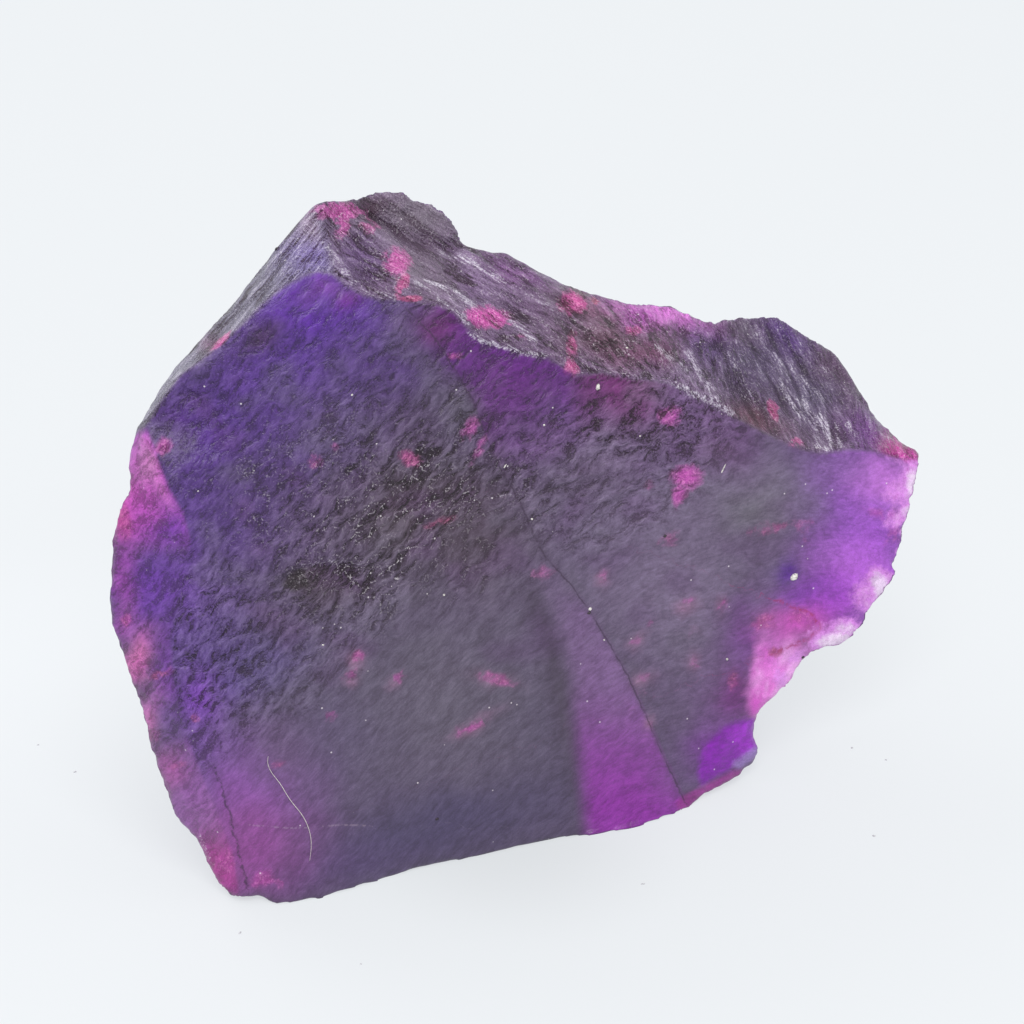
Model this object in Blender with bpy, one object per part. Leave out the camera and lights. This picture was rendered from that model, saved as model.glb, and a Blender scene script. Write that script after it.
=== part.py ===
"""A rough violet stone: one broken chip with a broad, slightly domed fracture face, a
ridge along its top, a bevelled shoulder on the left, two lobes at the back of the top
and a thin, sharp flange on the right.  It stands on a flat fracture patch at z = 0.

Frame: +X along the foot of the broad face, +Y from the broad face into the stone,
+Z up.  Metres.

The stone is drawn on an elevation sheet, as a sculptor would take it off a squared
drawing.  The sheet is 1024 units square (x to the right, y down) and is seen from an eye
point that looks down by PITCH and is turned by YAW from +Y towards +X.  Each station is
a place on the sheet and a set-back: how many millimetres it lies behind the plane of the
broad face, or how high it lies above the ground."""

import math

import bmesh
import bpy
import numpy as np
from mathutils import Vector
from mathutils.geometry import delaunay_2d_cdt

# ---------------------------------------------------------------- driving dimensions
UNIT = 0.074e-3  # one unit of the drawing sheet, in metres
SHEET = 1024  # the sheet is this many units square
EYE = 4000  # units from the eye point to the sheet
PITCH = math.radians(30)  # the eye looks down by this much
YAW = math.radians(22)  # and is turned this much from +Y towards +X
LEAN = math.radians(7)  # the broad face leans back by this much
FOOT = (290, 902)  # where the left-hand foot of the broad face is on the sheet
SOLE_DROP = 0.5e-3  # the net is carried this far below the ground, and then cut off flat
ORIGIN = (21.729e-3, 11.305e-3)  # the middle of the stone's box, seen from above, before it is moved to X = Y = 0
GROW = 1.7  # units by which the outline is drawn full, for what the carving takes off it
VOXEL = 0.36e-3  # fineness of the carved surface before it is simplified
TRIANGLES = 9400  # of the finished solid, about
WAVE = 0.26e-3  # depth of the broad waves in the fracture faces

# ---------------------------------------------------------------- the outline
# Stations round the outline, clockwise from the apex: sheet x, sheet y, set-back in mm.
CREST = [  # along the back of the top, from the apex to the right-hand tip
    (320, 202, 5.7), (328, 200, 6.4), (336, 202, 7.0), (346, 200, 7.8), (356, 198, 8.8),
    (362, 195, 9.6), (376, 194, 10.3), (390, 193, 10.7), (401, 195, 11.0), (410, 202, 11.1),
    (422, 202, 11.5), (432, 206, 11.8), (441, 210, 12.1), (449, 217, 12.3), (455, 227, 12.3),
    (460, 239, 12.0), (464, 250, 11.6), (475, 250, 11.7), (490, 254, 11.6), (505, 254, 11.6),
    (513, 259, 11.4), (520, 266, 11.2), (534, 271, 11.1), (548, 279, 11.0), (564, 288, 10.8),
    (580, 290, 10.7), (597, 296, 10.4), (620, 303, 10.4), (636, 305, 10.8), (650, 303, 11.4),
    (664, 306, 11.6), (680, 312, 11.6), (697, 319, 11.4), (714, 327, 11.0), (720, 322, 11.8),
    (735, 319, 12.6), (750, 316, 13.3), (765, 314, 14.0), (778, 318, 14.4), (790, 325, 14.5),
    (805, 334, 14.4), (820, 344, 14.0), (834, 356, 13.3), (845, 369, 12.5), (853, 384, 11.4),
    (862, 400, 10.2), (873, 414, 8.8), (884, 427, 7.4), (898, 439, 5.6), (911, 448, 3.8),
]
FLANGE = [  # down the thin right-hand rim
    (926, 459, 2.2), (920, 468, 1.5), (917, 480, 1.2), (915, 494, 1.0), (910, 508, 1.0),
    (907, 520, 1.0), (903, 532, 1.1), (904, 541, 1.1), (898, 552, 1.0), (896, 562, 1.0),
    (898, 571, 1.0), (893, 584, 1.0), (884, 598, 1.0), (880, 605, 1.0), (871, 614, 1.0),
    (866, 624, 1.0), (857, 634, 1.0), (850, 640, 1.0), (843, 647, 1.0), (832, 649, 1.0),
    (818, 651, 1.0), (806, 656, 1.1), (800, 664, 1.1), (794, 673, 1.1), (789, 682, 1.1),
    (778, 690, 1.2), (768, 699, 1.3), (759, 708, 1.5), (754, 716, 1.8), (752, 727, 2.2),
    (752, 738, 2.3), (757, 747, 2.3), (757, 756, 2.2), (750, 766, 1.9), (737, 778, 1.4),
    (722, 788, 1.0), (706, 796, 0.6), (697, 801, 0.4),
]
SOLE = [  # the front edge of the patch that it stands on: height above the ground, mm
    (683, 809, 0.15), (668, 817, 0.0), (648, 824, 0.0), (625, 831, 0.0), (600, 836, 0.0),
    (570, 838, 0.0), (540, 842, 0.0), (505, 848, 0.0), (470, 856, 0.0), (435, 865, 0.0),
    (400, 873, 0.0), (370, 882, 0.0), (345, 892, 0.0), (318, 899, 0.0), (290, 903, 0.0),
    (277, 902, 0.1), (269, 897, 0.7),
]
HEEL = [  # up the rounded left-hand side, from the foot to the shoulder
    (261, 895, 0.6), (254, 899, 0.6), (243, 900, 0.8), (231, 896, 1.5), (222, 887, 2.4),
    (214, 873, 2.9), (207, 859, 3.2), (203, 847, 3.4), (196, 837, 3.6), (186, 827, 3.8),
    (177, 820, 3.9), (172, 809, 4.0), (170, 798, 4.0), (163, 779, 4.1), (156, 760, 4.2),
    (150, 738, 4.3), (144, 716, 4.4), (138, 694, 4.4), (131, 676, 4.5), (127, 660, 4.6),
    (119, 641, 4.7), (113, 620, 4.8), (109, 600, 4.9), (112, 582, 4.9), (114, 560, 4.9),
    (114, 538, 4.9), (116, 517, 4.8), (121, 505, 4.7), (128, 497, 4.6), (131, 484, 4.6),
    (130, 468, 4.7), (130, 452, 4.8), (135, 438, 4.8), (142, 426, 4.8), (150, 411, 4.9),
]
SHOULDER = [  # up the bevelled shoulder to the apex
    (160, 392, 5.2), (172, 374, 5.5), (190, 353, 5.8), (211, 329, 6.1), (235, 301, 6.3),
    (258, 273, 6.4), (276, 250, 6.4), (292, 230, 6.3), (305, 215, 6.1), (313, 207, 5.9),
]

# ---------------------------------------------------------------- edges on the near side
# The ridge that ends the broad face at the top, from the shoulder to the right-hand tip.
RIDGE = [
    (151, 418, 3.0), (163, 398, 2.2), (180, 375, 1.7), (203, 358, 1.4), (224, 341, 1.2),
    (244, 323, 1.1), (264, 303, 1.1), (284, 286, 1.1), (301, 276, 1.2), (318, 271, 1.3),
    (333, 274, 1.3), (347, 286, 1.1), (364, 296, 0.9), (382, 300, 0.8), (400, 300, 0.7),
    (418, 303, 0.7), (438, 305, 0.6), (454, 313, 0.6), (466, 326, 0.5), (480, 341, 0.5),
    (503, 347, 0.4), (528, 355, 0.4), (547, 357, 0.4), (562, 366, 0.4), (577, 375, 0.4),
    (602, 372, 0.5), (628, 378, 0.4), (655, 380, 0.4), (676, 386, 0.4), (702, 401, 0.4),
    (731, 415, 0.5), (757, 428, 0.6), (780, 440, 0.8), (801, 449, 0.9), (822, 453, 0.9),
    (846, 449, 0.9), (871, 450, 1.0), (895, 457, 1.3),
]
# The arris from the ridge up to the apex, between the shoulder and the near top facet.
APEX_ARRIS = [(333, 274, 1.3), (328, 258, 2.5), (322, 240, 3.8), (319, 222, 5.0)]
# The upper edge of the near top facet, from the apex down to the ridge.
FACET_EDGE = [
    (345, 209, 7.2), (358, 212, 7.5), (370, 220, 7.3), (380, 231, 6.8), (389, 242, 5.8),
    (398, 258, 4.2), (405, 275, 2.7), (411, 290, 1.5), (418, 303, 0.7),
]
# The foot of the knob behind the apex, where it stands up from the long top surface.
KNOB_FOOT = [
    (364, 208, 9.0), (378, 219, 8.9), (391, 230, 8.9), (406, 238, 9.0), (424, 246, 9.3),
    (442, 251, 9.9), (456, 256, 10.5),
]
# Two long low steps that run down the top surface to the right.
STEP_HIGH = [(470, 262, 9.4), (486, 270, 8.8), (502, 281, 8.0), (520, 291, 7.4), (540, 302, 6.9), (556, 318, 5.9)]
STEP_LOW = [(424, 281, 4.6), (444, 287, 4.5), (462, 297, 4.1), (482, 307, 3.9), (508, 318, 3.7), (526, 331, 2.9)]
# The step between the long top surface and the right-hand lobe.
LOBE_VALLEY = [(709, 336, 9.4), (704, 351, 7.6), (706, 368, 5.4), (716, 388, 2.9), (731, 415, 0.5)]
# The edge on the left where the broad face turns into the rounded side.
SIDE_EDGE = [
    (146, 441, 2.0), (158, 462, 1.3), (168, 488, 1.0), (182, 512, 0.9), (190, 540, 1.0),
    (186, 572, 1.2), (176, 606, 1.4), (170, 640, 1.5), (173, 676, 1.4), (181, 712, 1.3),
    (192, 750, 1.2), (206, 786, 1.1), (220, 820, 1.0), (232, 852, 0.9), (241, 878, 0.9),
]

CHAINS = (RIDGE, APEX_ARRIS, FACET_EDGE, KNOB_FOOT, STEP_HIGH, STEP_LOW, LOBE_VALLEY, SIDE_EDGE)

# ---------------------------------------------------------------- loose stations, near side
NEAR = [
    # the shoulder
    (178, 384, 2.9), (196, 361, 3.3), (218, 338, 3.4), (240, 314, 3.5), (262, 290, 3.5),
    (284, 263, 3.6), (300, 240, 4.3),
    # the near top facet
    (341, 222, 6.1), (338, 246, 3.9), (362, 234, 5.7), (364, 262, 3.3), (386, 278, 2.4),
    (350, 266, 2.6), (384, 256, 4.2),
    # the knob behind the apex
    (376, 204, 9.8), (392, 210, 10.0), (408, 217, 9.9), (420, 230, 10.0), (438, 232, 10.8),
    (428, 215, 11.2), (448, 242, 11.1),
    # the long top surface
    (404, 250, 6.0), (424, 262, 6.4), (414, 268, 4.6), (446, 268, 6.9), (462, 279, 6.4),
    (484, 290, 6.0), (504, 300, 5.6), (524, 311, 5.2), (444, 297, 2.4), (466, 311, 2.3),
    (484, 324, 1.9), (506, 335, 1.7), (528, 344, 1.3), (494, 264, 10.2), (516, 276, 9.6),
    (540, 288, 9.2), (546, 332, 3.5), (562, 300, 8.4), (566, 340, 3.2), (582, 316, 6.8),
    (588, 342, 3.8), (592, 358, 1.9), (612, 318, 7.6), (626, 340, 4.9), (634, 360, 2.4),
    (650, 322, 8.4), (664, 342, 5.8), (668, 364, 3.0), (686, 332, 9.0), (690, 352, 6.4),
    (690, 376, 3.1),
    # the right-hand lobe
    (736, 336, 11.2), (760, 332, 12.7), (786, 342, 13.0), (742, 358, 9.3), (768, 362, 10.6),
    (796, 362, 11.7), (822, 370, 11.7), (740, 384, 6.4), (768, 390, 7.9), (796, 392, 9.3),
    (824, 398, 9.5), (846, 404, 8.8), (768, 412, 4.8), (796, 420, 6.0), (824, 426, 6.2),
    (848, 428, 5.8), (870, 432, 4.9), (890, 446, 3.0), (800, 438, 3.2), (836, 440, 3.3),
    # the rounded left-hand side
    (140, 470, 3.0), (144, 510, 2.6), (142, 560, 2.8), (136, 604, 2.9), (142, 650, 2.8),
    (152, 696, 2.7), (164, 738, 2.6), (180, 782, 2.4), (196, 818, 2.3), (218, 858, 2.0),
    (236, 884, 1.4),
    # the broad face: a low dome with a hollow or two
    (230, 380, 0.5), (300, 320, 0.5), (370, 340, 0.2), (440, 360, 0.1), (520, 400, 0.0),
    (600, 420, 0.0), (680, 440, 0.2), (760, 470, 0.4), (840, 490, 0.8), (885, 500, 1.0),
    (240, 460, 0.2), (310, 430, -0.1), (390, 440, -0.1), (450, 440, 0.1), (520, 500, 0.1),
    (600, 520, -0.1), (690, 530, 0.0), (770, 560, 0.4), (850, 570, 0.9), (250, 560, 0.1),
    (330, 540, -0.1), (400, 560, 0.2), (470, 580, -0.1), (540, 600, 0.1), (620, 610, -0.2),
    (700, 620, 0.1), (780, 640, 0.7), (250, 650, 0.2), (330, 660, -0.1), (410, 660, -0.4),
    (490, 670, -0.5), (545, 690, -0.3), (600, 690, -0.1), (660, 690, -0.1), (720, 690, 0.6),
    (270, 740, 0.2), (340, 760, -0.2), (420, 760, -0.5), (500, 770, -0.5), (556, 760, -0.3),
    (610, 770, 0.1), (665, 765, 0.2), (712, 745, 0.9), (736, 740, 1.6), (280, 820, 0.2),
    (350, 830, -0.1), (430, 820, -0.3), (500, 815, -0.3), (575, 800, -0.1), (640, 795, 0.2),
    (690, 785, 0.6),
]

# ---------------------------------------------------------------- loose stations, far side
# Set-backs on the far side of the flange, the left side and the crest, on the sheet.
FAR_SHEET = [
    # behind the flange
    (880, 480, 3.2), (884, 520, 2.4), (876, 560, 2.4), (862, 600, 2.2), (836, 628, 2.2),
    (852, 520, 5.2), (842, 566, 4.4), (822, 606, 3.6), (800, 640, 3.0), (782, 664, 3.0),
    (764, 690, 3.2), (850, 476, 7.2), (816, 540, 7.6), (792, 590, 6.6), (764, 640, 6.4),
    (744, 688, 6.0), (738, 716, 6.0), (738, 748, 5.6), (806, 486, 11.0), (856, 440, 8.6),
    # behind the rounded left-hand side
    (128, 600, 7.6), (134, 540, 7.8), (146, 490, 8.2), (146, 650, 7.4), (160, 710, 7.4),
    (176, 770, 7.2), (196, 820, 6.6), (226, 868, 5.4), (160, 440, 8.8), (176, 400, 9.4),
    # behind the shoulder and the crest
    (214, 352, 10.0), (260, 296, 10.6), (300, 240, 10.8), (330, 216, 10.6), (370, 212, 12.8),
    (416, 224, 15.2), (446, 252, 15.2), (500, 272, 14.6), (560, 304, 14.0), (620, 320, 13.8),
    (680, 330, 14.6), (730, 340, 15.6), (780, 346, 17.4), (826, 372, 16.4), (850, 404, 13.2),
]
# The back of the stone and the sole, in millimetres: x, y, z from the left-hand foot.
FAR_SPACE = [
    # the sole, a little below the cut that leaves the resting patch
    (0, 4, -0.9), (-1.5, 9, -0.8), (3, 14, -0.9), (8, 5, -1.0), (9, 12, -1.0), (12, 18, -0.9),
    (18, 6, -1.0), (18, 14, -1.0), (20, 19.5, -0.9), (27, 5, -1.0), (27, 12, -1.0),
    (28, 18, -0.8), (32.5, 9, -0.8), (34.5, 13, -0.2), (35.5, 6, 0.5),
    # the foot of the back
    (-5, 8, 4.5), (-5, 13, 7), (1, 18.5, 4.5), (7, 21.5, 4), (14, 22.8, 4.5), (22, 23, 4),
    (29, 21.5, 4.5), (35, 18, 5), (38, 12.5, 6), (40, 8.5, 8.5),
    # the back, from left to right and rising
    (-7, 10.5, 15), (-3, 17, 13), (4, 21.6, 12), (12, 23.6, 13), (21, 24.0, 12), (30, 22.5, 12),
    (37, 18, 13), (41, 13, 14), (-7, 13, 24), (-2, 18, 22), (6, 21.8, 22), (15, 23.2, 23),
    (24, 23.0, 21), (33, 21.0, 20), (40, 16.5, 20), (-2, 16.5, 32), (5, 20.0, 32),
    (14, 21.5, 32), (23, 21.8, 29), (32, 20.6, 26), (8, 19.2, 39), (15, 20.6, 38),
]

# Flat breaks across the far side: x, y, z from the left-hand foot in mm, then the azimuth
# from +Y towards +X and the elevation of the way each break faces, in degrees.
BREAKS = [
    (14, 20.4, 33, 4, 12), (-2, 17.0, 26, -38, 8), (30, 21.6, 20, 4, 7), (17, 22.4, 14, -6, -9),
    (3, 18.8, 8, -34, -30), (29, 20.2, 6, 20, -38), (35, 17.0, 6, 30, -25),
]

STONE = dict(color=(0.16, 0.075, 0.25, 1.0), roughness=0.42, metallic=0.0)


# ---------------------------------------------------------------- from the sheet to space
RIGHT = np.array([math.cos(YAW), -math.sin(YAW), 0.0])
UP = np.array([math.sin(YAW) * math.sin(PITCH), math.cos(YAW) * math.sin(PITCH), math.cos(PITCH)])
TOWARDS = np.array([-math.sin(YAW) * math.cos(PITCH), -math.cos(YAW) * math.cos(PITCH), math.sin(PITCH)])
FACE = np.array([0.0, -math.cos(LEAN), math.sin(LEAN)])  # out of the broad face
CENTRE = ((SHEET / 2 - FOOT[0]) * RIGHT + (FOOT[1] - SHEET / 2) * UP) * UNIT
EYE_POINT = CENTRE + EYE * UNIT * TOWARDS


def ray(x, y):
    return CENTRE + ((x - SHEET / 2) * RIGHT + (SHEET / 2 - y) * UP) * UNIT - EYE_POINT


def on_face(x, y, back_mm):
    """The place on the sheet's line of sight that lies back_mm behind the broad face."""
    d = ray(x, y)
    return EYE_POINT + d * ((-back_mm * 1e-3 - FACE @ EYE_POINT) / (FACE @ d))


def on_ground(x, y, height_mm):
    d = ray(x, y)
    return EYE_POINT + d * ((height_mm * 1e-3 - EYE_POINT[2]) / d[2])


def below_ground(x, y, height_mm):
    return on_ground(x, y, height_mm) - np.array([0.0, 0.0, SOLE_DROP])


def sheet_of(points):
    """Sheet x and y of places in space."""
    d = np.atleast_2d(points) - EYE_POINT
    depth = d @ -TOWARDS
    return np.stack([
        SHEET / 2 + (d @ RIGHT) / depth * EYE,
        SHEET / 2 - (d @ UP) / depth * EYE,
    ], axis=1)


# ---------------------------------------------------------------- the two skins
def skin(rim, lines, loose, towards_eye):
    """Triangles over one side of the stone.  rim is the closed outline, lines are chains
    that stay edges, loose are single stations; all are places in space."""
    points, edges = [np.array(p) for p in rim], []
    known = {}

    def add(p):
        key = tuple(np.round(p, 7))
        if key not in known:
            known[key] = len(points)
            points.append(np.array(p))
        return known[key]

    for i, p in enumerate(rim):
        known[tuple(np.round(p, 7))] = i
    for chain in lines:
        ids = [add(p) for p in chain]
        edges += list(zip(ids, ids[1:]))
    for p in loose:
        add(p)
    flat = [Vector((a, -b)) for a, b in sheet_of(np.array(points))]
    flat_out, _, faces, origin, _, _ = delaunay_2d_cdt(
        flat, edges, [list(range(len(rim)))[::-1]], 1, 1e-6
    )
    if len(flat_out) != len(points):
        raise RuntimeError("two lines of the drawing cross: %d, %d" % (len(flat_out), len(points)))
    index = [o[0] for o in origin]
    made = []
    for f in faces:
        a, b, c = (index[k] for k in f)
        pa, pb, pc = flat[a], flat[b], flat[c]
        turn = (pb - pa).cross(pc - pa)
        if abs(turn) < 1e-9:
            continue
        made.append((a, b, c) if (turn > 0) == towards_eye else (a, c, b))
    held = set(range(len(rim))) | {k for e in edges for k in e}
    return points, made, held


def chords_bulged(points, faces, rim, outwards):
    """Splits every edge that crosses the skin from rim to rim, and stands its middle off a
    little, so that the two skins never share one."""
    middle = {}

    def mid(a, b):
        inside = a < rim and b < rim and (a - b) % rim not in (1, rim - 1)
        if not inside:
            return None
        key = (min(a, b), max(a, b))
        if key not in middle:
            gap = np.linalg.norm(points[a] - points[b])
            middle[key] = len(points)
            points.append((points[a] + points[b]) / 2 + outwards * 0.12 * gap)
        return middle[key]

    made = []
    for a, b, c in faces:
        corners = (a, b, c)
        mids = (mid(a, b), mid(b, c), mid(c, a))
        ring = []
        for corner, m in zip(corners, mids):
            ring.append(corner)
            if m is not None:
                ring.append(m)
        if len(ring) == 3:
            made.append(tuple(ring))
            continue
        start = next(k for k, v in enumerate(ring) if v not in corners)
        ring = ring[start:] + ring[:start]
        made += [(ring[0], ring[k], ring[k + 1]) for k in range(1, len(ring) - 1)]
    return made


def outline():
    """The outline in space, each station moved outwards on the sheet by GROW."""
    stations = [(on_face, p) for p in CREST + FLANGE]
    stations += [(below_ground, p) for p in SOLE]
    stations += [(on_face, p) for p in HEEL + SHOULDER]
    flat = np.array([p[:2] for _, p in stations], float)
    along = np.roll(flat, -1, axis=0) - np.roll(flat, 1, axis=0)
    along /= np.linalg.norm(along, axis=1)[:, None]
    out = np.stack([along[:, 1], -along[:, 0]], axis=1)  # the outline runs clockwise, y is down
    return [place(x, y, p[2]) for (place, p), (x, y) in zip(stations, flat + GROW * out)]


def control_mesh():
    rim = outline()
    near_lines = [[on_face(*p) for p in chain] for chain in CHAINS]
    near, near_faces, held = skin(rim, near_lines, [on_face(*p) for p in NEAR], True)
    far_loose = [on_face(*p) for p in FAR_SHEET] + [np.array(p) * 1e-3 for p in FAR_SPACE]
    far, far_faces, _ = skin(rim, [], far_loose, False)
    count = len(rim)
    near_faces = chords_bulged(near, near_faces, count, FACE)
    far_faces = chords_bulged(far, far_faces, count, -FACE)
    points = near + far[count:]
    shift = len(near) - count
    faces = near_faces + [tuple(k if k < count else k + shift for k in f) for f in far_faces]
    return np.array(points), faces, held


def softened(bm, held, rounds, hold):
    """Takes the drawn net's flat creases off; held vertices follow by a share of 1 - hold."""
    bm.verts.ensure_lookup_table()
    co = np.array([v.co for v in bm.verts])
    pairs = np.array([[e.verts[0].index, e.verts[1].index] for e in bm.edges])
    degree = np.bincount(pairs.ravel(), minlength=len(co))[:, None]
    weight = np.where(held, 1 - hold, 1.0)[:, None]
    for _ in range(rounds):
        total = np.zeros_like(co)
        np.add.at(total, pairs[:, 0], co[pairs[:, 1]])
        np.add.at(total, pairs[:, 1], co[pairs[:, 0]])
        co += 0.5 * weight * (total / degree - co)
    for v, p in zip(bm.verts, co):
        v.co = p


def base_mesh(name):
    points, faces, held = control_mesh()
    bm = bmesh.new()
    layer = bm.verts.layers.float.new("held")
    verts = [bm.verts.new(p) for p in points]
    for i in held:
        verts[i][layer] = 1.0
    for f in faces:
        bm.faces.new([verts[k] for k in f])
    lines = set()
    for e in bm.edges:
        if e.verts[0][layer] > 0.5 and e.verts[1][layer] > 0.5:
            lines.add(e)
    for _ in range(2):
        bmesh.ops.subdivide_edges(bm, edges=bm.edges[:], cuts=1, use_grid_fill=True)
    bmesh.ops.triangulate(bm, faces=bm.faces[:])
    bm.verts.index_update()
    held_now = np.array([v[layer] > 0.98 for v in bm.verts])
    softened(bm, held_now, 8, 0.97)
    mesh = bpy.data.meshes.new(name)
    bm.to_mesh(mesh)
    bm.free()
    return mesh


# ---------------------------------------------------------------- waves in the faces
def hashed(i, seed):
    h = (i[..., 0] * 374761393 + i[..., 1] * 668265263 + i[..., 2] * 2147483647 + seed * 1274126177) & 0xFFFFFFFF
    h = ((h ^ (h >> 13)) * 1274126177) & 0xFFFFFFFF
    return (h ^ (h >> 16)) & 0xFFFFFFFF


def noise(p, seed):
    """Gradient noise, about -1 to 1, at points p."""
    p = np.asarray(p, float)
    cell = np.floor(p).astype(np.int64)
    f = p - cell
    s = f * f * f * (f * (f * 6 - 15) + 10)
    total = np.zeros(len(p))
    for dx in (0, 1):
        for dy in (0, 1):
            for dz in (0, 1):
                corner = np.array([dx, dy, dz])
                h = hashed(cell + corner, seed)
                a = (h & 0xFFFF) / 65536.0 * 2 * math.pi
                c = ((h >> 16) & 0xFFFF) / 65535.0 * 2 - 1
                r = np.sqrt(np.maximum(0, 1 - c * c))
                g = np.stack([r * np.cos(a), r * np.sin(a), c], axis=1)
                w = np.prod(np.where(corner, s, 1 - s), axis=1)
                total += w * np.einsum("ij,ij->i", g, f - corner)
    return total * 1.6


def waves(co, normal):
    """How far the broken faces stand out from the drawn net, in metres.  The waves die out
    where a face turns away from the eye point, so that they leave the outline as drawn."""
    turn = np.clip(np.abs(normal @ TOWARDS) / 0.45, 0, 1)
    turn = turn * turn * (3 - 2 * turn)
    broad = noise(co / 9e-3, 3) + 0.5 * noise(co / 4.2e-3, 5)
    small = noise(co / 2.1e-3, 7)
    back = np.clip(-(normal @ FACE), 0, 1)
    return WAVE * turn * (broad * (1 + 0.9 * back) + 0.22 * small)


def broken(co, normal):
    """Lays the parts of the far side that stand beyond a break down onto it."""
    far = np.clip(-(normal @ TOWARDS) / 0.4, 0, 1)
    far = far * far * (3 - 2 * far)
    for x, y, z, azimuth, elevation in BREAKS:
        a, e = math.radians(azimuth), math.radians(elevation)
        n = np.array([math.sin(a) * math.cos(e), math.cos(a) * math.cos(e), math.sin(e)])
        beyond = (co - np.array([x, y, z]) * 1e-3) @ n
        co = co - (np.maximum(beyond, 0) * far)[:, None] * n * 0.9
    return co


def evaluated(obj):
    graph = bpy.context.evaluated_depsgraph_get()
    graph.update()
    return bpy.data.meshes.new_from_object(obj.evaluated_get(graph))


def arrays(mesh):
    co = np.empty(len(mesh.vertices) * 3)
    mesh.vertices.foreach_get("co", co)
    normal = np.empty(len(mesh.vertices) * 3)
    mesh.vertices.foreach_get("normal", normal)
    return co.reshape(-1, 3), normal.reshape(-1, 3)


def carve(obj, voxel):
    """Remeshes the drawn net evenly and puts the waves in."""
    remesh = obj.modifiers.new("even", "REMESH")
    remesh.mode = "VOXEL"
    remesh.voxel_size = voxel
    remesh.adaptivity = 0
    mesh = evaluated(obj)
    obj.modifiers.remove(remesh)
    obj.data = mesh
    co, normal = arrays(mesh)
    co = broken(co, normal) + normal * waves(co, normal)[:, None]
    mesh.vertices.foreach_set("co", co.ravel())
    mesh.update()


def resting_patch(mesh):
    """Cuts the sole off flat at z = 0 and brings the stone's middle over the origin."""
    bm = bmesh.new()
    bm.from_mesh(mesh)
    bmesh.ops.bisect_plane(
        bm, geom=bm.verts[:] + bm.edges[:] + bm.faces[:], dist=1e-6,
        plane_co=(0, 0, 0), plane_no=(0, 0, -1), clear_outer=True,
    )
    open_edges = [e for e in bm.edges if e.is_boundary]
    bmesh.ops.holes_fill(bm, edges=open_edges, sides=0)
    bmesh.ops.translate(bm, verts=bm.verts[:], vec=(-ORIGIN[0], -ORIGIN[1], 0))
    for v in bm.verts:
        if abs(v.co.z) < 2e-6:
            v.co.z = 0.0
    bmesh.ops.triangulate(bm, faces=bm.faces[:])
    bmesh.ops.recalc_face_normals(bm, faces=bm.faces[:])
    bm.to_mesh(mesh)
    bm.free()


def main():
    for o in list(bpy.data.objects):
        bpy.data.objects.remove(o, do_unlink=True)

    stone = bpy.data.objects.new("stone", base_mesh("stone"))
    bpy.context.scene.collection.objects.link(stone)
    carve(stone, VOXEL)

    simpler = stone.modifiers.new("simpler", "DECIMATE")
    simpler.ratio = TRIANGLES / (2.0 * len(stone.data.polygons))
    mesh = evaluated(stone)
    stone.modifiers.remove(simpler)
    resting_patch(mesh)
    mesh.name = "stone"
    stone.data = mesh
    mesh.shade_smooth()
    mesh.set_sharp_from_angle(angle=math.radians(40))

    material = bpy.data.materials.new("violet_stone")
    material.use_nodes = True
    shader = material.node_tree.nodes["Principled BSDF"]
    shader.inputs["Base Color"].default_value = STONE["color"]
    shader.inputs["Roughness"].default_value = STONE["roughness"]
    shader.inputs["Metallic"].default_value = STONE["metallic"]
    mesh.materials.clear()
    mesh.materials.append(material)


main()
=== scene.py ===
"""The looks of a rough violet stone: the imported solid's skin remeshed finely and carved with
its hackles, striations, steps and chips, painted by zones, with its lint and dust, on a pale
floor in a light tent."""

import math

import bmesh
import bpy
import numpy as np
from mathutils import Matrix, Vector
from mathutils.bvhtree import BVHTree


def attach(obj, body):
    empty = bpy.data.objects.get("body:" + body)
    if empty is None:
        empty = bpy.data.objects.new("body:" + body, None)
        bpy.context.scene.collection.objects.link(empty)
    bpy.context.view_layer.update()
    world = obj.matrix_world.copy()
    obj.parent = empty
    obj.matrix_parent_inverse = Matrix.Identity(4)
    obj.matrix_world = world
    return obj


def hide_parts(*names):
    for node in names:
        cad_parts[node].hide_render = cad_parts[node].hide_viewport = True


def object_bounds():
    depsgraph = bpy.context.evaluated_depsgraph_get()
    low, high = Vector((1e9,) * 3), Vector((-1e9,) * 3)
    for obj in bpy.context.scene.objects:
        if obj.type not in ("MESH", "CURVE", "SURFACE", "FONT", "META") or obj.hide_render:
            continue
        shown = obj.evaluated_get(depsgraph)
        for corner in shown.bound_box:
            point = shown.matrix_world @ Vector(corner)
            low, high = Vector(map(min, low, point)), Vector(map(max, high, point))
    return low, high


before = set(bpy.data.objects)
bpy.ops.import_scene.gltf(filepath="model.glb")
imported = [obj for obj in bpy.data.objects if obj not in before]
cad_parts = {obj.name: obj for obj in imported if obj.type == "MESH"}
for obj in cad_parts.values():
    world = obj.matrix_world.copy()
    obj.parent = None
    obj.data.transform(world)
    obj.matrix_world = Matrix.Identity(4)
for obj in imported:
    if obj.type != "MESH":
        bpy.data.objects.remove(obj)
cad_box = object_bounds()

# ---------------------------------------------------------------- the elevation sheet
# The same drawing sheet as the solid's: 1024 units square, x right, y down.
UNIT = 0.074e-3
SHEET = 1024
EYE = 4000
PITCH = math.radians(30)
YAW = math.radians(22)
LEAN = math.radians(7)
FOOT = (290, 902)
ORIGIN = np.array([21.729e-3, 11.305e-3, 0.0])
VOXEL = 0.235e-3
MOST_TRIANGLES = 186000

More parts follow.
